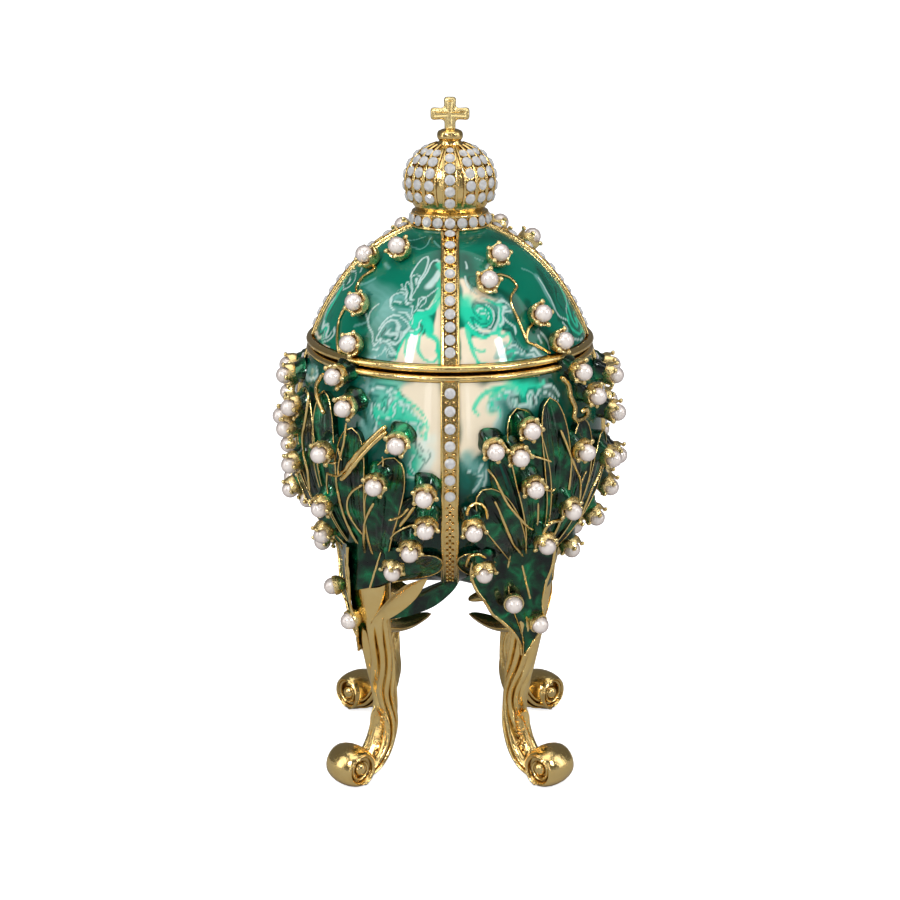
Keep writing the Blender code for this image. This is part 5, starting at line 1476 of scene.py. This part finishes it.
for panel, middle in PANELS.items():
    turn = Matrix.Rotation(math.radians(middle), 4, "Z")
    leg = copies("leg_casting_" + panel, leg_model, [turn], bright_gold, 50.0)
    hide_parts("leg_" + panel)
    top = copies("leg_top_" + panel, leg_top, [turn], deep_green, 75.0)
    enamelled = copies("leg_leaf_" + panel, leg_leaf, [turn], deep_green, 50.0)
    lines = [[(turn @ place, radius) for place, radius in line]
             for line in leaf_edge + veins + coils()]
    edge = tubes("leg_leaf_edge_" + panel, lines, bright_gold)
    beads = [turn @ Matrix.Translation(place) @ Matrix.Scale(1.9 - 0.08 * index, 4)
             for index, place in enumerate(channel)]
    beads = copies("leg_beads_" + panel, grain, beads, bright_gold)
    places = {}
    for index, look in enumerate(PEARL_LOOKS, 1):
        low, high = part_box("pearl_leg_%s_%d" % (panel, index))
        places[str(index)] = facing(0.5 * (Vector(low) + Vector(high)),
                                    turn @ Vector(look).normalized())
    cups = copies("leg_flowers_" + panel, leg_cup, places.values(), satin_gold, 40.0)
    set_pearls("leg", panel, places)

for model in (stone, seat, grain, bowl_bell, bowl_boss, lid_bell, leg_cup, pearl_model, leg_model,
              leg_leaf, leg_top):
    bpy.data.objects.remove(model)

# Stage
# A pale floor that the gilding hardly mirrors, soft light from both sides and above, narrow
# strips of light in front, and the camera.
bpy.ops.mesh.primitive_plane_add(size=12.0, location=(0.0, 0.0, -0.00002))
floor = bpy.context.active_object
floor.name = "floor"
pale, tree, shader = new_material("pale_floor", Roughness=0.9)
light = add(tree, "LightPath")
tree.links.new(two_tone(tree, light.outputs["Is Glossy Ray"], (0.9, 0.9, 0.9), (0.38, 0.38, 0.38)),
               shader.inputs["Base Color"])
shader.inputs["Emission Color"].default_value = (1.0, 1.0, 1.0, 1.0)
glow = add(tree, "Math", {"operation": "MULTIPLY"}, Value=light.outputs["Is Camera Ray"])
glow.inputs[1].default_value = 0.8
tree.links.new(glow.outputs[0], shader.inputs["Emission Strength"])
floor.data.materials.append(pale)

for place, size, power in (((-0.36, -0.5, 0.46), (0.08, 0.16), 1.5),
                           ((0.44, -0.42, 0.4), (0.07, 0.16), 1.1),
                           ((-0.7, -0.2, 0.3), (0.22, 0.8), 1.3),
                           ((0.7, -0.1, 0.3), (0.22, 0.8), 1.1),
                           ((-0.3, -1.0, 0.3), (0.09, 0.7), 0.8),
                           ((0.24, -1.0, 0.3), (0.05, 0.7), 0.45),
                           ((0.0, -0.15, 1.0), (1.0, 0.8), 3.7)):
    bpy.ops.object.light_add(type="AREA", location=place)
    lamp = bpy.context.active_object
    lamp.data.shape = "RECTANGLE"
    lamp.data.size, lamp.data.size_y = size
    lamp.data.energy = power
    aim = Vector((0, 0, 0.06)) - Vector(place)
    lamp.rotation_euler = aim.to_track_quat("-Z", "Y").to_euler()
bpy.ops.object.light_add(type="SUN", location=(0.0, -0.3, 1.0), rotation=(0.25, 0.0, 0.0))
sky = bpy.context.active_object
sky.data.energy = 0.75
sky.visible_glossy = False
sky.data.angle = math.radians(60.0)

world = bpy.data.worlds.new("studio")
bpy.context.scene.world = world
world.use_nodes = True
tree = world.node_tree
backdrop = tree.nodes["Background"]
backdrop.inputs["Color"].default_value = (1.0, 1.0, 1.0, 1.0)
dim = add(tree, "MapRange", Value=add(tree, "LightPath").outputs["Is Camera Ray"])
dim.inputs["To Min"].default_value = 0.13
tree.links.new(dim.outputs[0], backdrop.inputs["Strength"])
bpy.context.scene.view_settings.view_transform = "Standard"

CAMERA_PLACE, PITCH, LENS = (0.0, -0.38985, 0.17133), 0.28, 86.69
bpy.ops.object.camera_add(location=CAMERA_PLACE, rotation=(math.pi / 2 - PITCH, 0.0, 0.0))
camera = bpy.context.active_object
camera.data.lens = LENS
camera.data.sensor_width = 36.0
camera.data.clip_start = 0.01
bpy.context.scene.camera = camera

bpy.context.view_layer.update()
